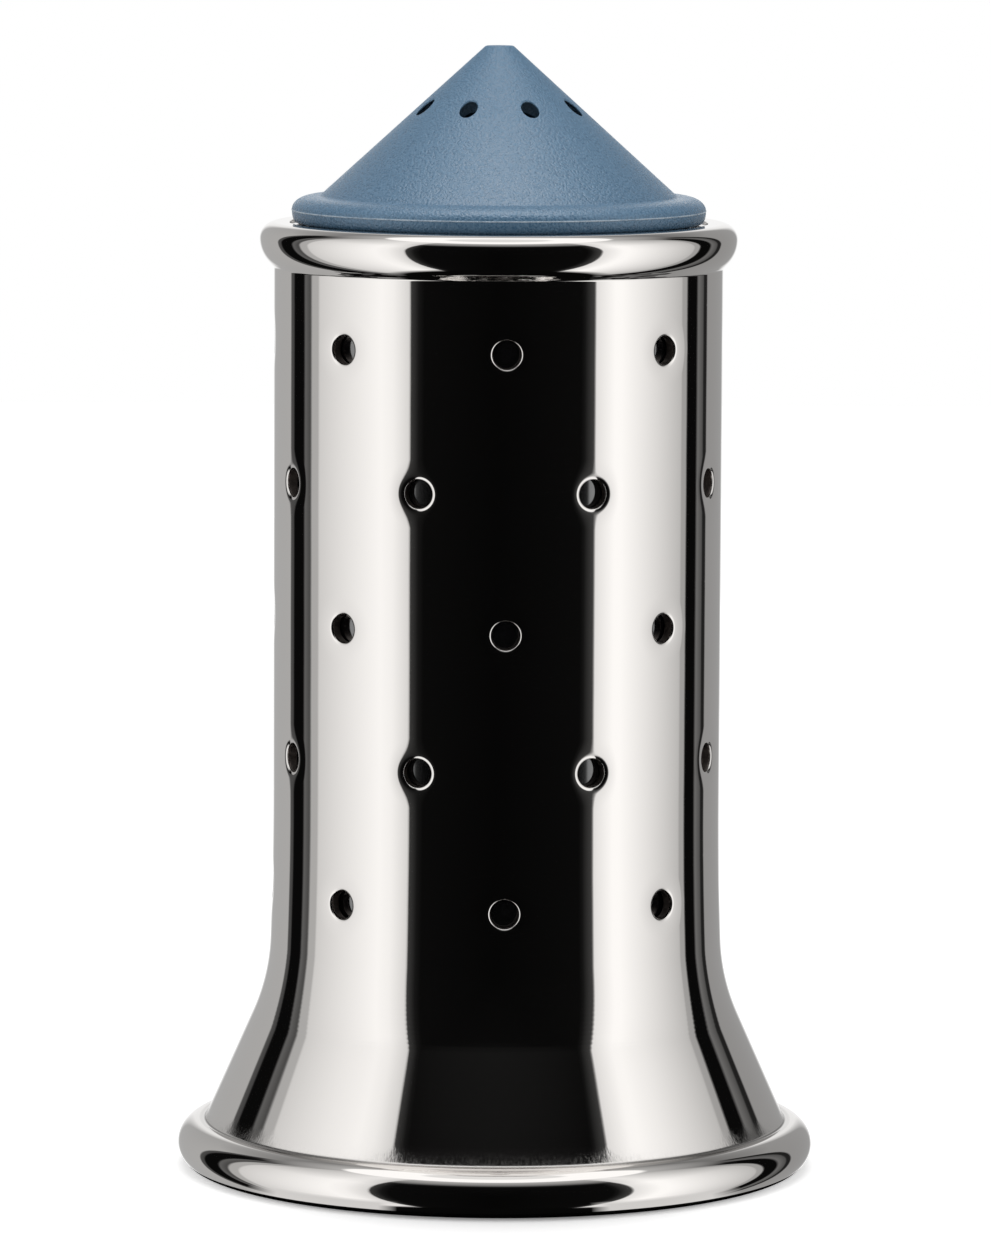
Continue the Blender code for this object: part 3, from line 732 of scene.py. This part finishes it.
def make_mantle(tree, finish):
    """The perforated tube with its rim and foot, as one sheet."""
    first_turn = FRONT + PERFORATION_TURN
    half_angle = math.pi / PERFORATIONS_PER_ROW
    border_turn = first_turn + half_angle

    def border_on_tube(angle, height, depth):
        radius = TUBE_RADIUS if depth < SHEET else BORE
        return radius * math.sin(angle), height

    def on_tube(across, up, depth):
        if depth < SHEET:
            outwards = math.sqrt(TUBE_RADIUS * TUBE_RADIUS - across * across) - depth
        else:
            outwards = math.sqrt(BORE * BORE - across * across)
        return Vector((outwards, across, TOP_ROW + up))

    border = cell_border(half_angle, CELL_HALF_HEIGHT, CELL_STEPS_ACROSS, CELL_STEPS_UP)
    cell = hole_cell("perforation_cell", border, perforation_circles(), border_on_tube, on_tube, SHEET)

    bottom_row = TOP_ROW - ROW_PITCH * (PERFORATION_ROWS - 1)
    skin = bmesh.new()
    rim = with_supports(mantle_rim_outline(TOP_ROW + CELL_HALF_HEIGHT))
    foot = with_supports(mantle_foot_outline(bottom_row - CELL_HALF_HEIGHT))
    add_rings(skin, turned_rings(rim, MANTLE_SEGMENTS, border_turn))
    add_rings(skin, turned_rings(foot, MANTLE_SEGMENTS, border_turn))
    add_rings(skin, turned_rings(with_supports(ledge_outline()), MANTLE_SEGMENTS, border_turn))
    for row in range(PERFORATION_ROWS - 1):
        upper = TOP_ROW - ROW_PITCH * row - CELL_HALF_HEIGHT
        lower = TOP_ROW - ROW_PITCH * (row + 1) + CELL_HALF_HEIGHT
        for radius in (TUBE_RADIUS, BORE):
            band = [(radius, upper), (radius, (upper + lower) / 2), (radius, lower)]
            add_rings(skin, turned_rings(band, MANTLE_SEGMENTS, border_turn))
    skin_object = mesh_object("mantle_skin", skin)
    sizes = {
        "Holes per row": PERFORATIONS_PER_ROW,
        "Rows": PERFORATION_ROWS,
        "Row pitch": ROW_PITCH,
        "First turn": first_turn,
    }
    mantle = holed_piece("perforated_mantle", tree, cell, skin_object, finish, sizes)
    swell_tube(mantle)
    return mantle


def straighten_tube_shading(mantle):
    """Give the tube between its dishes exact normals, so that what it mirrors has straight edges."""
    normals = []
    for loop in mantle.data.loops:
        place = mantle.data.vertices[loop.vertex_index].co
        outwards = Vector((place.x, place.y, 0))
        swell, slope = swell_at(place.z)
        on_tube = place.z > TUBE_BOTTOM + WELD and abs(outwards.length - TUBE_RADIUS - swell) < WELD / 10
        upright = Vector((place.x, place.y, outwards.length * slope)).normalized()
        normals.append(upright if on_tube else Vector())
    mantle.data.normals_split_custom_set(normals)


def cap_skin_outlines(flank, inner_edge, outer_edge, wall_upright):
    """The cap's outlines above and below the ring of pouring holes."""
    tip = (CONE_TIP_RADIUS, CONE_TOP)
    cone_foot = (CONE_FOOT_RADIUS, FLANGE_TOP)
    upper_centre = (FLANGE_RADIUS - FLANGE_UPPER_ROUND, FLANGE_WAIST)
    upper_radii = (FLANGE_UPPER_ROUND, FLANGE_TOP - FLANGE_WAIST)
    lower_centre = (FLANGE_RADIUS - FLANGE_LOWER_ROUND, FLANGE_WAIST)
    lower_radii = (FLANGE_LOWER_ROUND, FLANGE_WAIST - FLANGE_BOTTOM)
    upper = arc(upper_centre, upper_radii, math.pi / 2, 0)
    lower = arc(lower_centre, lower_radii, 0, -math.pi / 2)
    slope = (CONE_FOOT_RADIUS - CONE_TIP_RADIUS) / (CONE_TOP - FLANGE_TOP)
    wall_across = CAP_WALL * math.hypot(1, slope)
    ceiling_radius = CONE_TIP_RADIUS / 2
    ceiling = CONE_TOP - (ceiling_radius - CONE_TIP_RADIUS + wall_across) / slope
    inside_bottom = CONE_TOP - (PLUG_BORE - CONE_TIP_RADIUS + wall_across) / slope

    tip_outline = [flank(inner_edge, wall_upright), (ceiling_radius, ceiling), (0, ceiling)]
    crown_outline = [(0, CONE_TOP)]
    crown_outline += rounded_corner((0, CONE_TOP), tip, cone_foot, CONE_TIP_ROUND)
    crown_outline += [flank(inner_edge, 0.0)]

    ridge_half = PARTING_LINE_WIDTH / 2
    ridge = [(FLANGE_RADIUS, FLANGE_WAIST + ridge_half)]
    ridge += [(FLANGE_RADIUS + PARTING_LINE_RISE, FLANGE_WAIST + ridge_half * 0.4)]
    ridge += [(FLANGE_RADIUS + PARTING_LINE_RISE, FLANGE_WAIST - ridge_half * 0.4)]
    ridge += [(FLANGE_RADIUS, FLANGE_WAIST - ridge_half)]
    body = [flank(outer_edge, 0.0)]
    body += rounded_corner(body[0], cone_foot, upper[0], CONE_FOOT_ROUND)
    body += upper[:-1]
    body += ridge
    body += lower[1:]
    groove_top = SEAL_HEIGHT + GROOVE_HALF_HEIGHT
    groove_bottom = SEAL_HEIGHT - GROOVE_HALF_HEIGHT
    corners = [lower[-1], (PLUG_RADIUS, FLANGE_BOTTOM), (PLUG_RADIUS, groove_top)]
    corners += [(GROOVE_RADIUS, groove_top), (GROOVE_RADIUS, groove_bottom)]
    corners += [(PLUG_RADIUS, groove_bottom), (PLUG_RADIUS, PLUG_BOTTOM), (PLUG_BORE, PLUG_BOTTOM)]
    corners += [(PLUG_BORE, inside_bottom), flank(outer_edge, wall_upright)]
    small = PLUG_EDGE_ROUND / 4
    rounds = {1: small, 2: small, 3: small, 4: small, 5: small, 6: PLUG_EDGE_ROUND, 7: PLUG_EDGE_ROUND}
    body += rounded_outline(corners, rounds)[1:]
    return [tip_outline, crown_outline, body]


def make_cap(tree, finish):
    """The hollow cone with its flange, plug and ring of pouring holes.

    The holes stand upright, as the mould opens, and are relieved from inside so that salt can't clog them.
    """
    slope = (CONE_FOOT_RADIUS - CONE_TIP_RADIUS) / (CONE_TOP - FLANGE_TOP)
    wall_upright = CAP_WALL * math.hypot(1, 1 / slope)
    first_turn = FRONT + math.pi / SALT_HOLE_COUNT
    half_angle = math.pi / SALT_HOLE_COUNT

    def flank(radius, depth):
        """The (radius, height) of the cone's skin at a radius, or straight below it at a depth."""
        return radius, CONE_TOP - (radius - CONE_TIP_RADIUS) / slope - depth

    def border_on_flank(angle, outwards, depth):
        radius = SALT_HOLE_CIRCLE + outwards
        return radius * math.sin(angle), radius * math.cos(angle) - SALT_HOLE_CIRCLE

    def on_flank(across, outwards, depth):
        forward = SALT_HOLE_CIRCLE + outwards
        return Vector((forward, across, flank(math.hypot(forward, across), depth)[1]))

    circles = [(SALT_HOLE_RADIUS + SALT_HOLE_ROUND * 2, 0.0)]
    for step in range(6):
        angle = math.pi / 2 * step / 5
        reach = SALT_HOLE_RADIUS + SALT_HOLE_ROUND * (1 - math.sin(angle))
        circles.append((reach, SALT_HOLE_ROUND * (1 - math.cos(angle))))
    circles.append((SALT_HOLE_RADIUS, SALT_HOLE_LAND))
    circles.append((SALT_HOLE_RELIEF, SALT_HOLE_SKIN))
    circles.append((SALT_HOLE_RELIEF, wall_upright))
    border = cell_border(half_angle, SALT_CELL_HALF_WIDTH, SALT_CELL_STEPS_ACROSS, SALT_CELL_STEPS_OUT)
    cell = hole_cell("pouring_hole_cell", border, circles, border_on_flank, on_flank, wall_upright)

    skin = bmesh.new()
    border_turn = first_turn + half_angle
    inner_edge = SALT_HOLE_CIRCLE - SALT_CELL_HALF_WIDTH
    outer_edge = SALT_HOLE_CIRCLE + SALT_CELL_HALF_WIDTH
    for outline in cap_skin_outlines(flank, inner_edge, outer_edge, wall_upright):
        add_rings(skin, turned_rings(with_supports(outline), CAP_SEGMENTS, border_turn))
    skin_object = mesh_object("cap_skin", skin)
    sizes = {"Holes per row": SALT_HOLE_COUNT, "Rows": 1, "Row pitch": 0.0, "First turn": first_turn}
    return holed_piece("cone_cap_moulding", tree, cell, skin_object, finish, sizes)


def make_container():
    """The salt cup, from the middle of its floor up the inside and down the outside to the screw's boss."""
    small = CONTAINER_EDGE_ROUND
    corners = [(0, CONTAINER_FLOOR_TOP), (CONTAINER_FOOT_BORE, CONTAINER_FLOOR_TOP)]
    corners += [(CONTAINER_FOOT_BORE, SHOULDER_BOTTOM), (CONTAINER_BORE, SHOULDER_TOP)]
    corners += [(CONTAINER_BORE, CONTAINER_TOP - CONTAINER_LEAD_IN)]
    corners += [(CONTAINER_BORE + CONTAINER_LEAD_IN, CONTAINER_TOP), (CONTAINER_RADIUS, CONTAINER_TOP)]
    corners += [(CONTAINER_RADIUS, CONTAINER_NECK_BOTTOM), (CONTAINER_BELLY, CONTAINER_BELLY_TOP)]
    corners += [(CONTAINER_BELLY, SHOULDER_BOTTOM), (CONTAINER_FOOT_RADIUS, SHOULDER_BOTTOM)]
    corners += [(CONTAINER_FOOT_RADIUS, CONTAINER_BOTTOM), (BOSS_RADIUS, CONTAINER_BOTTOM)]
    corners += [(BOSS_RADIUS, BOSS_BOTTOM), (SCREW_BORE, BOSS_BOTTOM), (SCREW_BORE, SCREW_BORE_TOP)]
    corners += [(0, SCREW_BORE_TOP)]
    rounds = {number: small for number in (2, 3, 4, 5, 6, 7, 8, 9, 10, 12, 13)}
    rounds[1] = CONTAINER_CORNER
    rounds[11] = CONTAINER_CORNER
    return turned_object("container_moulding", rounded_outline(corners, rounds), TURNED_SEGMENTS)


def make_seal():
    """The sealing ring, with the thin line where its mould closed."""
    outline = arc((SEAL_RADIUS, SEAL_HEIGHT), (SEAL_SECTION, SEAL_SECTION), 0, math.tau, ARC_STEP * 4)[:-1]
    outline[0] = (outline[0][0] + SEAL_FLASH, outline[0][1])
    return turned_object("seal_ring_moulding", outline, TURNED_SEGMENTS, closed=True)


def make_base():
    """The base disc with its collar, and the shallow ring pressed into its underside."""
    recess_top = BASE_BOTTOM + RECESS_DEPTH
    corners = [(SCREW_BORE, BASE_TOP), (COLLAR_BORE, BASE_TOP), (COLLAR_BORE, COLLAR_TOP)]
    corners += [(COLLAR_RADIUS, COLLAR_TOP), (COLLAR_RADIUS, BASE_TOP), (BASE_RADIUS, BASE_TOP)]
    corners += [(BASE_RADIUS, BASE_BOTTOM), (RECESS_OUTER, BASE_BOTTOM)]
    corners += [(RECESS_OUTER - RECESS_DEPTH, recess_top), (RECESS_INNER + RECESS_DEPTH, recess_top)]
    corners += [(RECESS_INNER, BASE_BOTTOM), (SCREW_BORE, BASE_BOTTOM)]
    rounds = {number: BASE_EDGE_ROUND / 2 for number in (1, 2, 3, 4, 7, 8, 9, 10)}
    rounds[5] = BASE_EDGE_ROUND
    rounds[6] = BASE_EDGE_ROUND
    return turned_object("base_moulding", rounded_outline(corners, rounds), TURNED_SEGMENTS, closed=True)


def hexagon_ring(radius, height):
    """A ring of points on a hexagon, with as many points as the screw has segments."""
    ring = []
    inner = radius * math.cos(math.pi / 6)
    for number in range(SCREW_SEGMENTS):
        angle = math.tau * number / SCREW_SEGMENTS
        from_flat = math.remainder(angle - math.pi / 6, math.pi / 3)
        reach = inner / math.cos(from_flat)
        ring.append(Vector((reach * math.cos(angle), reach * math.sin(angle), height)))
    return ring


def thread_rings():
    """Rings up the screw's shank, pushed in and out along a helix."""
    rings = []
    steps_per_turn = 8
    start = SCREW_HEAD_TOP + SUPPORT
    end = SCREW_TIP - SCREW_TIP_CHAMFER
    count = round((end - start) / THREAD_PITCH * steps_per_turn)
    for step in range(count + 1):
        height = start + (end - start) * step / count
        fade = min(1.0, step / steps_per_turn, (count - step) / steps_per_turn)
        ring = []
        for number in range(SCREW_SEGMENTS):
            share = number / SCREW_SEGMENTS
            phase = ((height - start) / THREAD_PITCH - share) % 1.0
            depth = THREAD_DEPTH * fade * abs(2 * phase - 1)
            radius = SCREW_RADIUS - depth
            angle = math.tau * share
            ring.append(Vector((radius * math.cos(angle), radius * math.sin(angle), height)))
        rings.append(ring)
    return rings


def make_screw():
    """The threaded screw with its round head and hexagon socket."""
    mesh = bmesh.new()
    chamfer_radius = SCREW_RADIUS - SCREW_TIP_CHAMFER
    rings = turned_rings([(0, SCREW_TIP), (chamfer_radius, SCREW_TIP)], SCREW_SEGMENTS)
    rings += reversed(thread_rings())
    corners = [(SCREW_RADIUS, SCREW_HEAD_TOP), (SCREW_HEAD_RADIUS, SCREW_HEAD_TOP)]
    corners += [(SCREW_HEAD_RADIUS, SCREW_HEAD_BOTTOM), (0, SCREW_HEAD_BOTTOM)]
    head = rounded_outline(corners, {1: SOCKET_CHAMFER, 2: SCREW_HEAD_ROUND})[:-1]
    rings += turned_rings(head, SCREW_SEGMENTS)
    mouth = SOCKET_RADIUS + SOCKET_CHAMFER
    rings += turned_rings([(mouth + SOCKET_CHAMFER, SCREW_HEAD_BOTTOM)], SCREW_SEGMENTS)
    rings += turned_rings([(mouth, SCREW_HEAD_BOTTOM)], SCREW_SEGMENTS)
    rings += [hexagon_ring(SOCKET_RADIUS, SCREW_HEAD_BOTTOM + SOCKET_CHAMFER)]
    rings += [hexagon_ring(SOCKET_RADIUS, SCREW_HEAD_BOTTOM + SOCKET_DEPTH)]
    rings += turned_rings([(0, SCREW_HEAD_BOTTOM + SOCKET_DEPTH + SOCKET_CHAMFER)], SCREW_SEGMENTS)
    add_rings(mesh, rings)
    return mesh_object("base_screw_turned", mesh)


def finish_piece(piece, finish, body, node):
    """Smooth a piece, give it its finish, and let it stand for its CAD node."""
    piece.data.materials.clear()
    piece.data.materials.append(finish)
    piece.data.shade_smooth()
    piece.data.set_sharp_from_angle(angle=SMOOTH_ANGLE)
    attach(piece, body)
    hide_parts(node)


# Studio

FLOOR_SIZE = 1.5
FLOOR_DROP = 0.02 * MM
FLOOR_GLOW = 0.2
FLOOR_FAR_GLOW = 0.5
FLOOR_GLOW_STARTS = 26 * MM
FLOOR_GLOW_FULL = 36 * MM
FLOOR_SIDE_GLOW_STRETCH = 1.5
FOOT_SHADOW = 25.05 * MM
LIT_RING_FADES = 26.3 * MM
LIT_RING_ENDS = 27.2 * MM
LIT_RING_LEVEL = 0.9
LIT_RING_FRONT = (0.31, 0.37)
LIT_RING_SIDE = (0.7, 0.8)
FILL_LOW = 0.68
FILL_HIGH = 0.4
LAMP_WATTS = 1.8
LAMP_SIZE = 0.5
LAMP_PLACE = (0.0, -0.05, 0.7)
CAMERA_PLACE = (0.0, -0.61519, 0.11284)
CAMERA_LENS = 219.45
CAMERA_DOWN = math.radians(6.388)
CAMERA_ROLL = math.radians(0.27)
CAMERA_YAW = math.radians(0.011)

# What stands round the object, as polished steel mirrors it. Each panel runs from one direction to
# another, in degrees from the front to the back, with its brightness at both ends.
LEFT_PANELS = {
    "front_flag": (0, 38, 0.0025, 0.0045),
    "front_flag_edge": (41, 45.2, 0.012, 0.06),
    "softbox_near_half": (45.9, 55, 0.98, 1.3),
    "softbox_far_half": (62, 104, 1.38, 0.88),
    "side_wall": (105.5, 110.5, 0.58, 0.57),
    "flag_edge": (112, 117, 0.085, 0.16),
    "flag": (118.3, 128.5, 0.004, 0.004),
    "back_gap": (129.5, 132.5, 0.08, 0.1),
    "back_wall": (133.5, 165, 0.55, 0.47),
    "backdrop": (172, 180, 1.0, 1.0),
}
RIGHT_PANELS = {
    "front_flag": (0, 43, 0.0025, 0.0045),
    "front_flag_edge": (45, 50.4, 0.011, 0.07),
    "softbox_near_half": (51.2, 62, 1.1, 1.43),
    "softbox_far_half": (66, 108, 1.43, 0.7),
    "side_wall": (109, 112.5, 0.5, 0.48),
    "flag": (113.5, 122.5, 0.004, 0.004),
    "strip": (124.5, 130, 0.2, 0.11),
    "back_gap": (131, 134.5, 0.02, 0.02),
    "back_wall": (135.5, 165, 0.38, 0.38),
    "backdrop": (172, 180, 1.0, 1.0),
}
# Above the panels their light spills upwards, in degrees of height, until the white ceiling starts
SKY = {
    "panel_tops": (34, 38.5, 0.004, 0.011),
    "first_spill": (40.5, 44.5, 0.03, 0.19),
    "spill": (50, 60.5, 0.36, 0.6),
    "ceiling": (62, 90, 1.45, 1.45),
}
# Straight above, the ceiling and the softboxes leave a dimmer gap
GAP_LEVEL = 1.05
GAP_STARTS = math.sin(math.radians(76))
GAP_FULL = math.sin(math.radians(78))
BACK_STARTS = math.radians(128)
BACK_FULL = math.radians(134)
BACK_SHADE_STARTS = math.sin(math.radians(28))
BACK_SHADE_FULL = math.sin(math.radians(48))
BACK_SHADE = 0.45
SIDE_SHADE = 0.17
UNLIT = 0.0025
GROUND_LEVEL = 0.003
GROUND_STARTS = math.sin(math.radians(-60))
GROUND_FULL = math.sin(math.radians(-66))
BOUNCE_LEVEL = 0.6


def panel_ramp(tree, share, panels, full_angle):
    """The brightness of named panels, each from one angle to another, over a share of the full angle."""
    sweep = add_node(tree, "ShaderNodeValToRGB", {"Fac": share})
    stops = sweep.color_ramp.elements
    stops.remove(stops[1])
    stops[0].color = (UNLIT, UNLIT, UNLIT, 1.0)
    for start, end, first_level, last_level in panels.values():
        for angle, level in ((start, first_level), (end, last_level)):
            stop = stops.new(angle / full_angle)
            stop.color = (level, level, level, 1.0)
    return sweep.outputs["Color"]


def make_world():
    """A white studio. Only what mirrors it sees the panels; everything else gets an even fill light."""
    world = bpy.data.worlds.new("studio")
    bpy.context.scene.world = world
    world.use_nodes = True
    tree = world.node_tree
    tree.nodes.clear()
    direction = add_node(tree, "ShaderNodeTexCoord").outputs["Generated"]
    parts = add_node(tree, "ShaderNodeSeparateXYZ", {0: direction}).outputs
    sideways = add_node(tree, "ShaderNodeMath", {0: parts["X"]}, operation="ABSOLUTE").outputs[0]
    frontwards = add_node(tree, "ShaderNodeMath", {0: 0.0, 1: parts["Y"]}, operation="SUBTRACT").outputs[0]
    azimuth = add_node(tree, "ShaderNodeMath", {0: sideways, 1: frontwards}, operation="ARCTAN2").outputs[0]
    back_share = ramp(tree, azimuth, 0.0, math.pi, 0.0, 1.0)
    past_middle = {0: parts["X"], 1: 0.0}
    to_right = add_node(tree, "ShaderNodeMath", past_middle, operation="GREATER_THAN").outputs[0]
    left = panel_ramp(tree, back_share, LEFT_PANELS, 180)
    right = panel_ramp(tree, back_share, RIGHT_PANELS, 180)
    colours = {"Factor": to_right, 6: left, 7: right}
    walls = add_node(tree, "ShaderNodeMix", colours, data_type="RGBA").outputs[2]

    in_back = ramp(tree, azimuth, BACK_STARTS, BACK_FULL, SIDE_SHADE, BACK_SHADE)
    high_up = ramp(tree, parts["Z"], BACK_SHADE_STARTS, BACK_SHADE_FULL, 0.0, 1.0)
    shade = add_node(tree, "ShaderNodeMath", {0: in_back, 1: high_up}, operation="MULTIPLY").outputs[0]
    dark = (0.0, 0.0, 0.0, 1.0)
    colours = {"Factor": shade, 6: walls, 7: dark}
    shaded = add_node(tree, "ShaderNodeMix", colours, data_type="RGBA").outputs[2]
    elevation = add_node(tree, "ShaderNodeMath", {0: parts["Z"]}, operation="ARCSINE").outputs[0]
    sky = panel_ramp(tree, ramp(tree, elevation, 0.0, math.pi / 2, 0.0, 1.0), SKY, 90)
    roofed = add_node(
        tree, "ShaderNodeMix", {"Factor": 1.0, 6: shaded, 7: sky}, data_type="RGBA", blend_type="LIGHTEN"
    ).outputs[2]
    overhead = ramp(tree, parts["Z"], GAP_STARTS, GAP_FULL, 0.0, 1.0)
    gap = (GAP_LEVEL, GAP_LEVEL, GAP_LEVEL, 1.0)
    colours = {"Factor": overhead, 6: roofed, 7: gap}
    opened = add_node(tree, "ShaderNodeMix", colours, data_type="RGBA").outputs[2]
    downwards = ramp(tree, parts["Z"], GROUND_STARTS, GROUND_FULL, 0.0, 1.0)
    ground = (GROUND_LEVEL, GROUND_LEVEL, GROUND_LEVEL, 1.0)
    colours = {"Factor": downwards, 6: opened, 7: ground}
    around = add_node(tree, "ShaderNodeMix", colours, data_type="RGBA").outputs[2]

    path = add_node(tree, "ShaderNodeLightPath").outputs
    bounced = ramp(tree, path["Diffuse Depth"], 0.0, 1.0, 1.0, BOUNCE_LEVEL)
    mirrored = add_node(tree, "ShaderNodeBackground", {"Color": around, "Strength": bounced}).outputs[0]
    fill_level = ramp(tree, parts["Z"], 0.0, 1.0, FILL_LOW, FILL_HIGH)
    plain = (1.0, 1.0, 1.0, 1.0)
    fill = add_node(tree, "ShaderNodeBackground", {"Color": plain, "Strength": fill_level}).outputs[0]
    white = add_node(tree, "ShaderNodeBackground", {"Color": plain, "Strength": 1.0}).outputs[0]
    through = add_node(
        tree,
        "ShaderNodeMath",
        {0: path["Is Camera Ray"], 1: path["Is Transmission Ray"]},
        operation="MAXIMUM",
    ).outputs[0]
    lit = add_node(tree, "ShaderNodeMixShader", {0: path["Is Glossy Ray"], 1: fill, 2: mirrored}).outputs[0]
    seen = add_node(tree, "ShaderNodeMixShader", {0: through, 1: lit, 2: white}).outputs[0]
    add_node(tree, "ShaderNodeOutputWorld", {"Surface": seen})


def white_paper():
    """Matt white paper, with the object's shadow and a glow painted on for the camera. Steel mirrors only
    painted rings close to the foot.
    """
    finish = bpy.data.materials.new("matt_white_paper")
    finish.use_nodes = True
    tree = finish.node_tree
    tree.nodes.clear()
    place = add_node(tree, "ShaderNodeTexCoord").outputs["Object"]
    reach = add_node(tree, "ShaderNodeVectorMath", {0: place}, operation="LENGTH").outputs["Value"]
    path = add_node(tree, "ShaderNodeLightPath").outputs
    # Away from the object a glow is painted onto the paper for the camera alone, up to full white and
    # soonest at the sides: painted light that lifts the shadow as side softboxes would
    stretch = (FLOOR_SIDE_GLOW_STRETCH, 1.0, 1.0)
    widened = {0: place, 1: stretch}
    stretched = add_node(tree, "ShaderNodeVectorMath", widened, operation="MULTIPLY").outputs[0]
    glow_reach = add_node(tree, "ShaderNodeVectorMath", {0: stretched}, operation="LENGTH").outputs["Value"]
    far_glow = ramp(tree, glow_reach, FLOOR_GLOW_STARTS, FLOOR_GLOW_FULL, FLOOR_GLOW, FLOOR_FAR_GLOW)
    glow_level = add_node(
        tree, "ShaderNodeMath", {0: path["Is Camera Ray"], 1: far_glow}, operation="MULTIPLY"
    ).outputs[0]
    glow = add_node(tree, "ShaderNodeEmission", {"Strength": glow_level}).outputs[0]
    paper = add_node(tree, "ShaderNodeBsdfDiffuse", {"Color": linear("#fafafa")}).outputs[0]
    glowing = add_node(tree, "ShaderNodeAddShader", {0: paper, 1: glow}).outputs[0]
    # For rays mirrored by the steel only, a dark ring under the foot is painted shadow, and a glowing ring
    # beside it but not in front is a painted reflection of lit paper
    clear = add_node(tree, "ShaderNodeBsdfTransparent").outputs[0]
    shadow = add_node(tree, "ShaderNodeBsdfDiffuse", {"Color": linear("#181818")}).outputs[0]
    lit = add_node(tree, "ShaderNodeEmission", {"Strength": LIT_RING_LEVEL}).outputs[0]
    sideways = add_node(tree, "ShaderNodeSeparateXYZ", {0: place}).outputs["X"]
    aside = add_node(tree, "ShaderNodeMath", {0: sideways}, operation="ABSOLUTE").outputs[0]
    side_share = add_node(tree, "ShaderNodeMath", {0: aside, 1: reach}, operation="DIVIDE").outputs[0]
    past_front = ramp(tree, side_share, *LIT_RING_FRONT, 0.0, 1.0)
    before_side = ramp(tree, side_share, *LIT_RING_SIDE, 1.0, 0.0)
    near = ramp(tree, reach, LIT_RING_FADES, LIT_RING_ENDS, 1.0, 0.0)
    both = {0: past_front, 1: before_side}
    beside = add_node(tree, "ShaderNodeMath", both, operation="MULTIPLY").outputs[0]
    lit_share = add_node(tree, "ShaderNodeMath", {0: beside, 1: near}, operation="MULTIPLY").outputs[0]
    beyond = add_node(tree, "ShaderNodeMixShader", {0: lit_share, 1: clear, 2: lit}).outputs[0]
    past_shadow = ramp(tree, reach, FOOT_SHADOW, FOOT_SHADOW + 0.05 * MM, 0.0, 1.0)
    mirrored = add_node(tree, "ShaderNodeMixShader", {0: past_shadow, 1: shadow, 2: beyond}).outputs[0]
    paper_or_mirrored = {0: path["Is Glossy Ray"], 1: glowing, 2: mirrored}
    from_above = add_node(tree, "ShaderNodeMixShader", paper_or_mirrored).outputs[0]
    # Seen from below the paper isn't there at all, so that the underside is lit
    from_below = add_node(tree, "ShaderNodeNewGeometry").outputs["Backfacing"]
    either = {0: from_below, 1: path["Transparent Depth"]}
    below_share = add_node(tree, "ShaderNodeMath", either, operation="ADD", use_clamp=True).outputs[0]
    seen = add_node(tree, "ShaderNodeMixShader", {0: below_share, 1: from_above, 2: clear}).outputs[0]
    add_node(tree, "ShaderNodeOutputMaterial", {"Surface": seen})
    return finish


def make_floor():
    """The sheet that the shaker stands on, facing up."""
    edge = FLOOR_SIZE / 2
    corners = [(-edge, -edge, -FLOOR_DROP), (edge, -edge, -FLOOR_DROP)]
    corners += [(edge, edge, -FLOOR_DROP), (-edge, edge, -FLOOR_DROP)]
    sheet = bpy.data.meshes.new("floor")
    sheet.from_pydata(corners, [], [(0, 1, 2, 3)])
    sheet.materials.append(white_paper())
    floor = bpy.data.objects.new("floor", sheet)
    bpy.context.scene.collection.objects.link(floor)


def make_lamp(shielded):
    """One large soft lamp overhead, which gives the matt cap its broad sheen.

    The steel is shielded from it, because it would mirror the lamp as a hard white square.
    """
    lamp = bpy.data.lights.new("top_softbox", "AREA")
    lamp.energy = LAMP_WATTS
    lamp.size = LAMP_SIZE
    holder = bpy.data.objects.new("top_softbox", lamp)
    holder.location = LAMP_PLACE
    towards_cap = Vector((0, 0, RIM_HEIGHT)) - Vector(LAMP_PLACE)
    holder.rotation_euler = towards_cap.to_track_quat("-Z", "Y").to_euler()
    bpy.context.scene.collection.objects.link(holder)
    shield = bpy.data.collections.new("shielded_from_lamp")
    shield.objects.link(shielded)
    shield.collection_objects[0].light_linking.link_state = "EXCLUDE"
    holder.light_linking.receiver_collection = shield


def make_camera():
    """A long lens, a little above the cap's height and looking slightly down."""
    lens = bpy.data.cameras.new("studio_camera")
    lens.lens = CAMERA_LENS
    camera = bpy.data.objects.new("studio_camera", lens)
    down = Matrix.Rotation(math.pi / 2 - CAMERA_DOWN, 4, "X")
    roll = Matrix.Rotation(CAMERA_ROLL, 4, "Z")
    yaw = Matrix.Rotation(CAMERA_YAW, 4, "Z")
    camera.matrix_world = Matrix.Translation(CAMERA_PLACE) @ yaw @ down @ roll
    bpy.context.scene.collection.objects.link(camera)
    bpy.context.scene.camera = camera


bpy.context.scene.view_settings.view_transform = "Standard"
make_camera()
make_world()
make_floor()

holes_tree = ring_of_holes_tree()
steel = mirror_polished_steel()
blue = matt_blue_plastic()
mantle = make_mantle(holes_tree, steel)
finish_piece(mantle, steel, "shaker_body", "mantle")
straighten_tube_shading(mantle)
make_lamp(mantle)
finish_piece(make_container(), glossy_black_moulding(), "shaker_body", "container")
finish_piece(make_base(), satin_black_moulding(), "shaker_body", "base_disc")
finish_piece(make_screw(), zinc_plated_steel(), "shaker_body", "base_screw")
finish_piece(make_seal(), black_silicone(), "seal_ring", "cap_seal")
finish_piece(make_cap(holes_tree, blue), blue, "cap", "cone_cap")
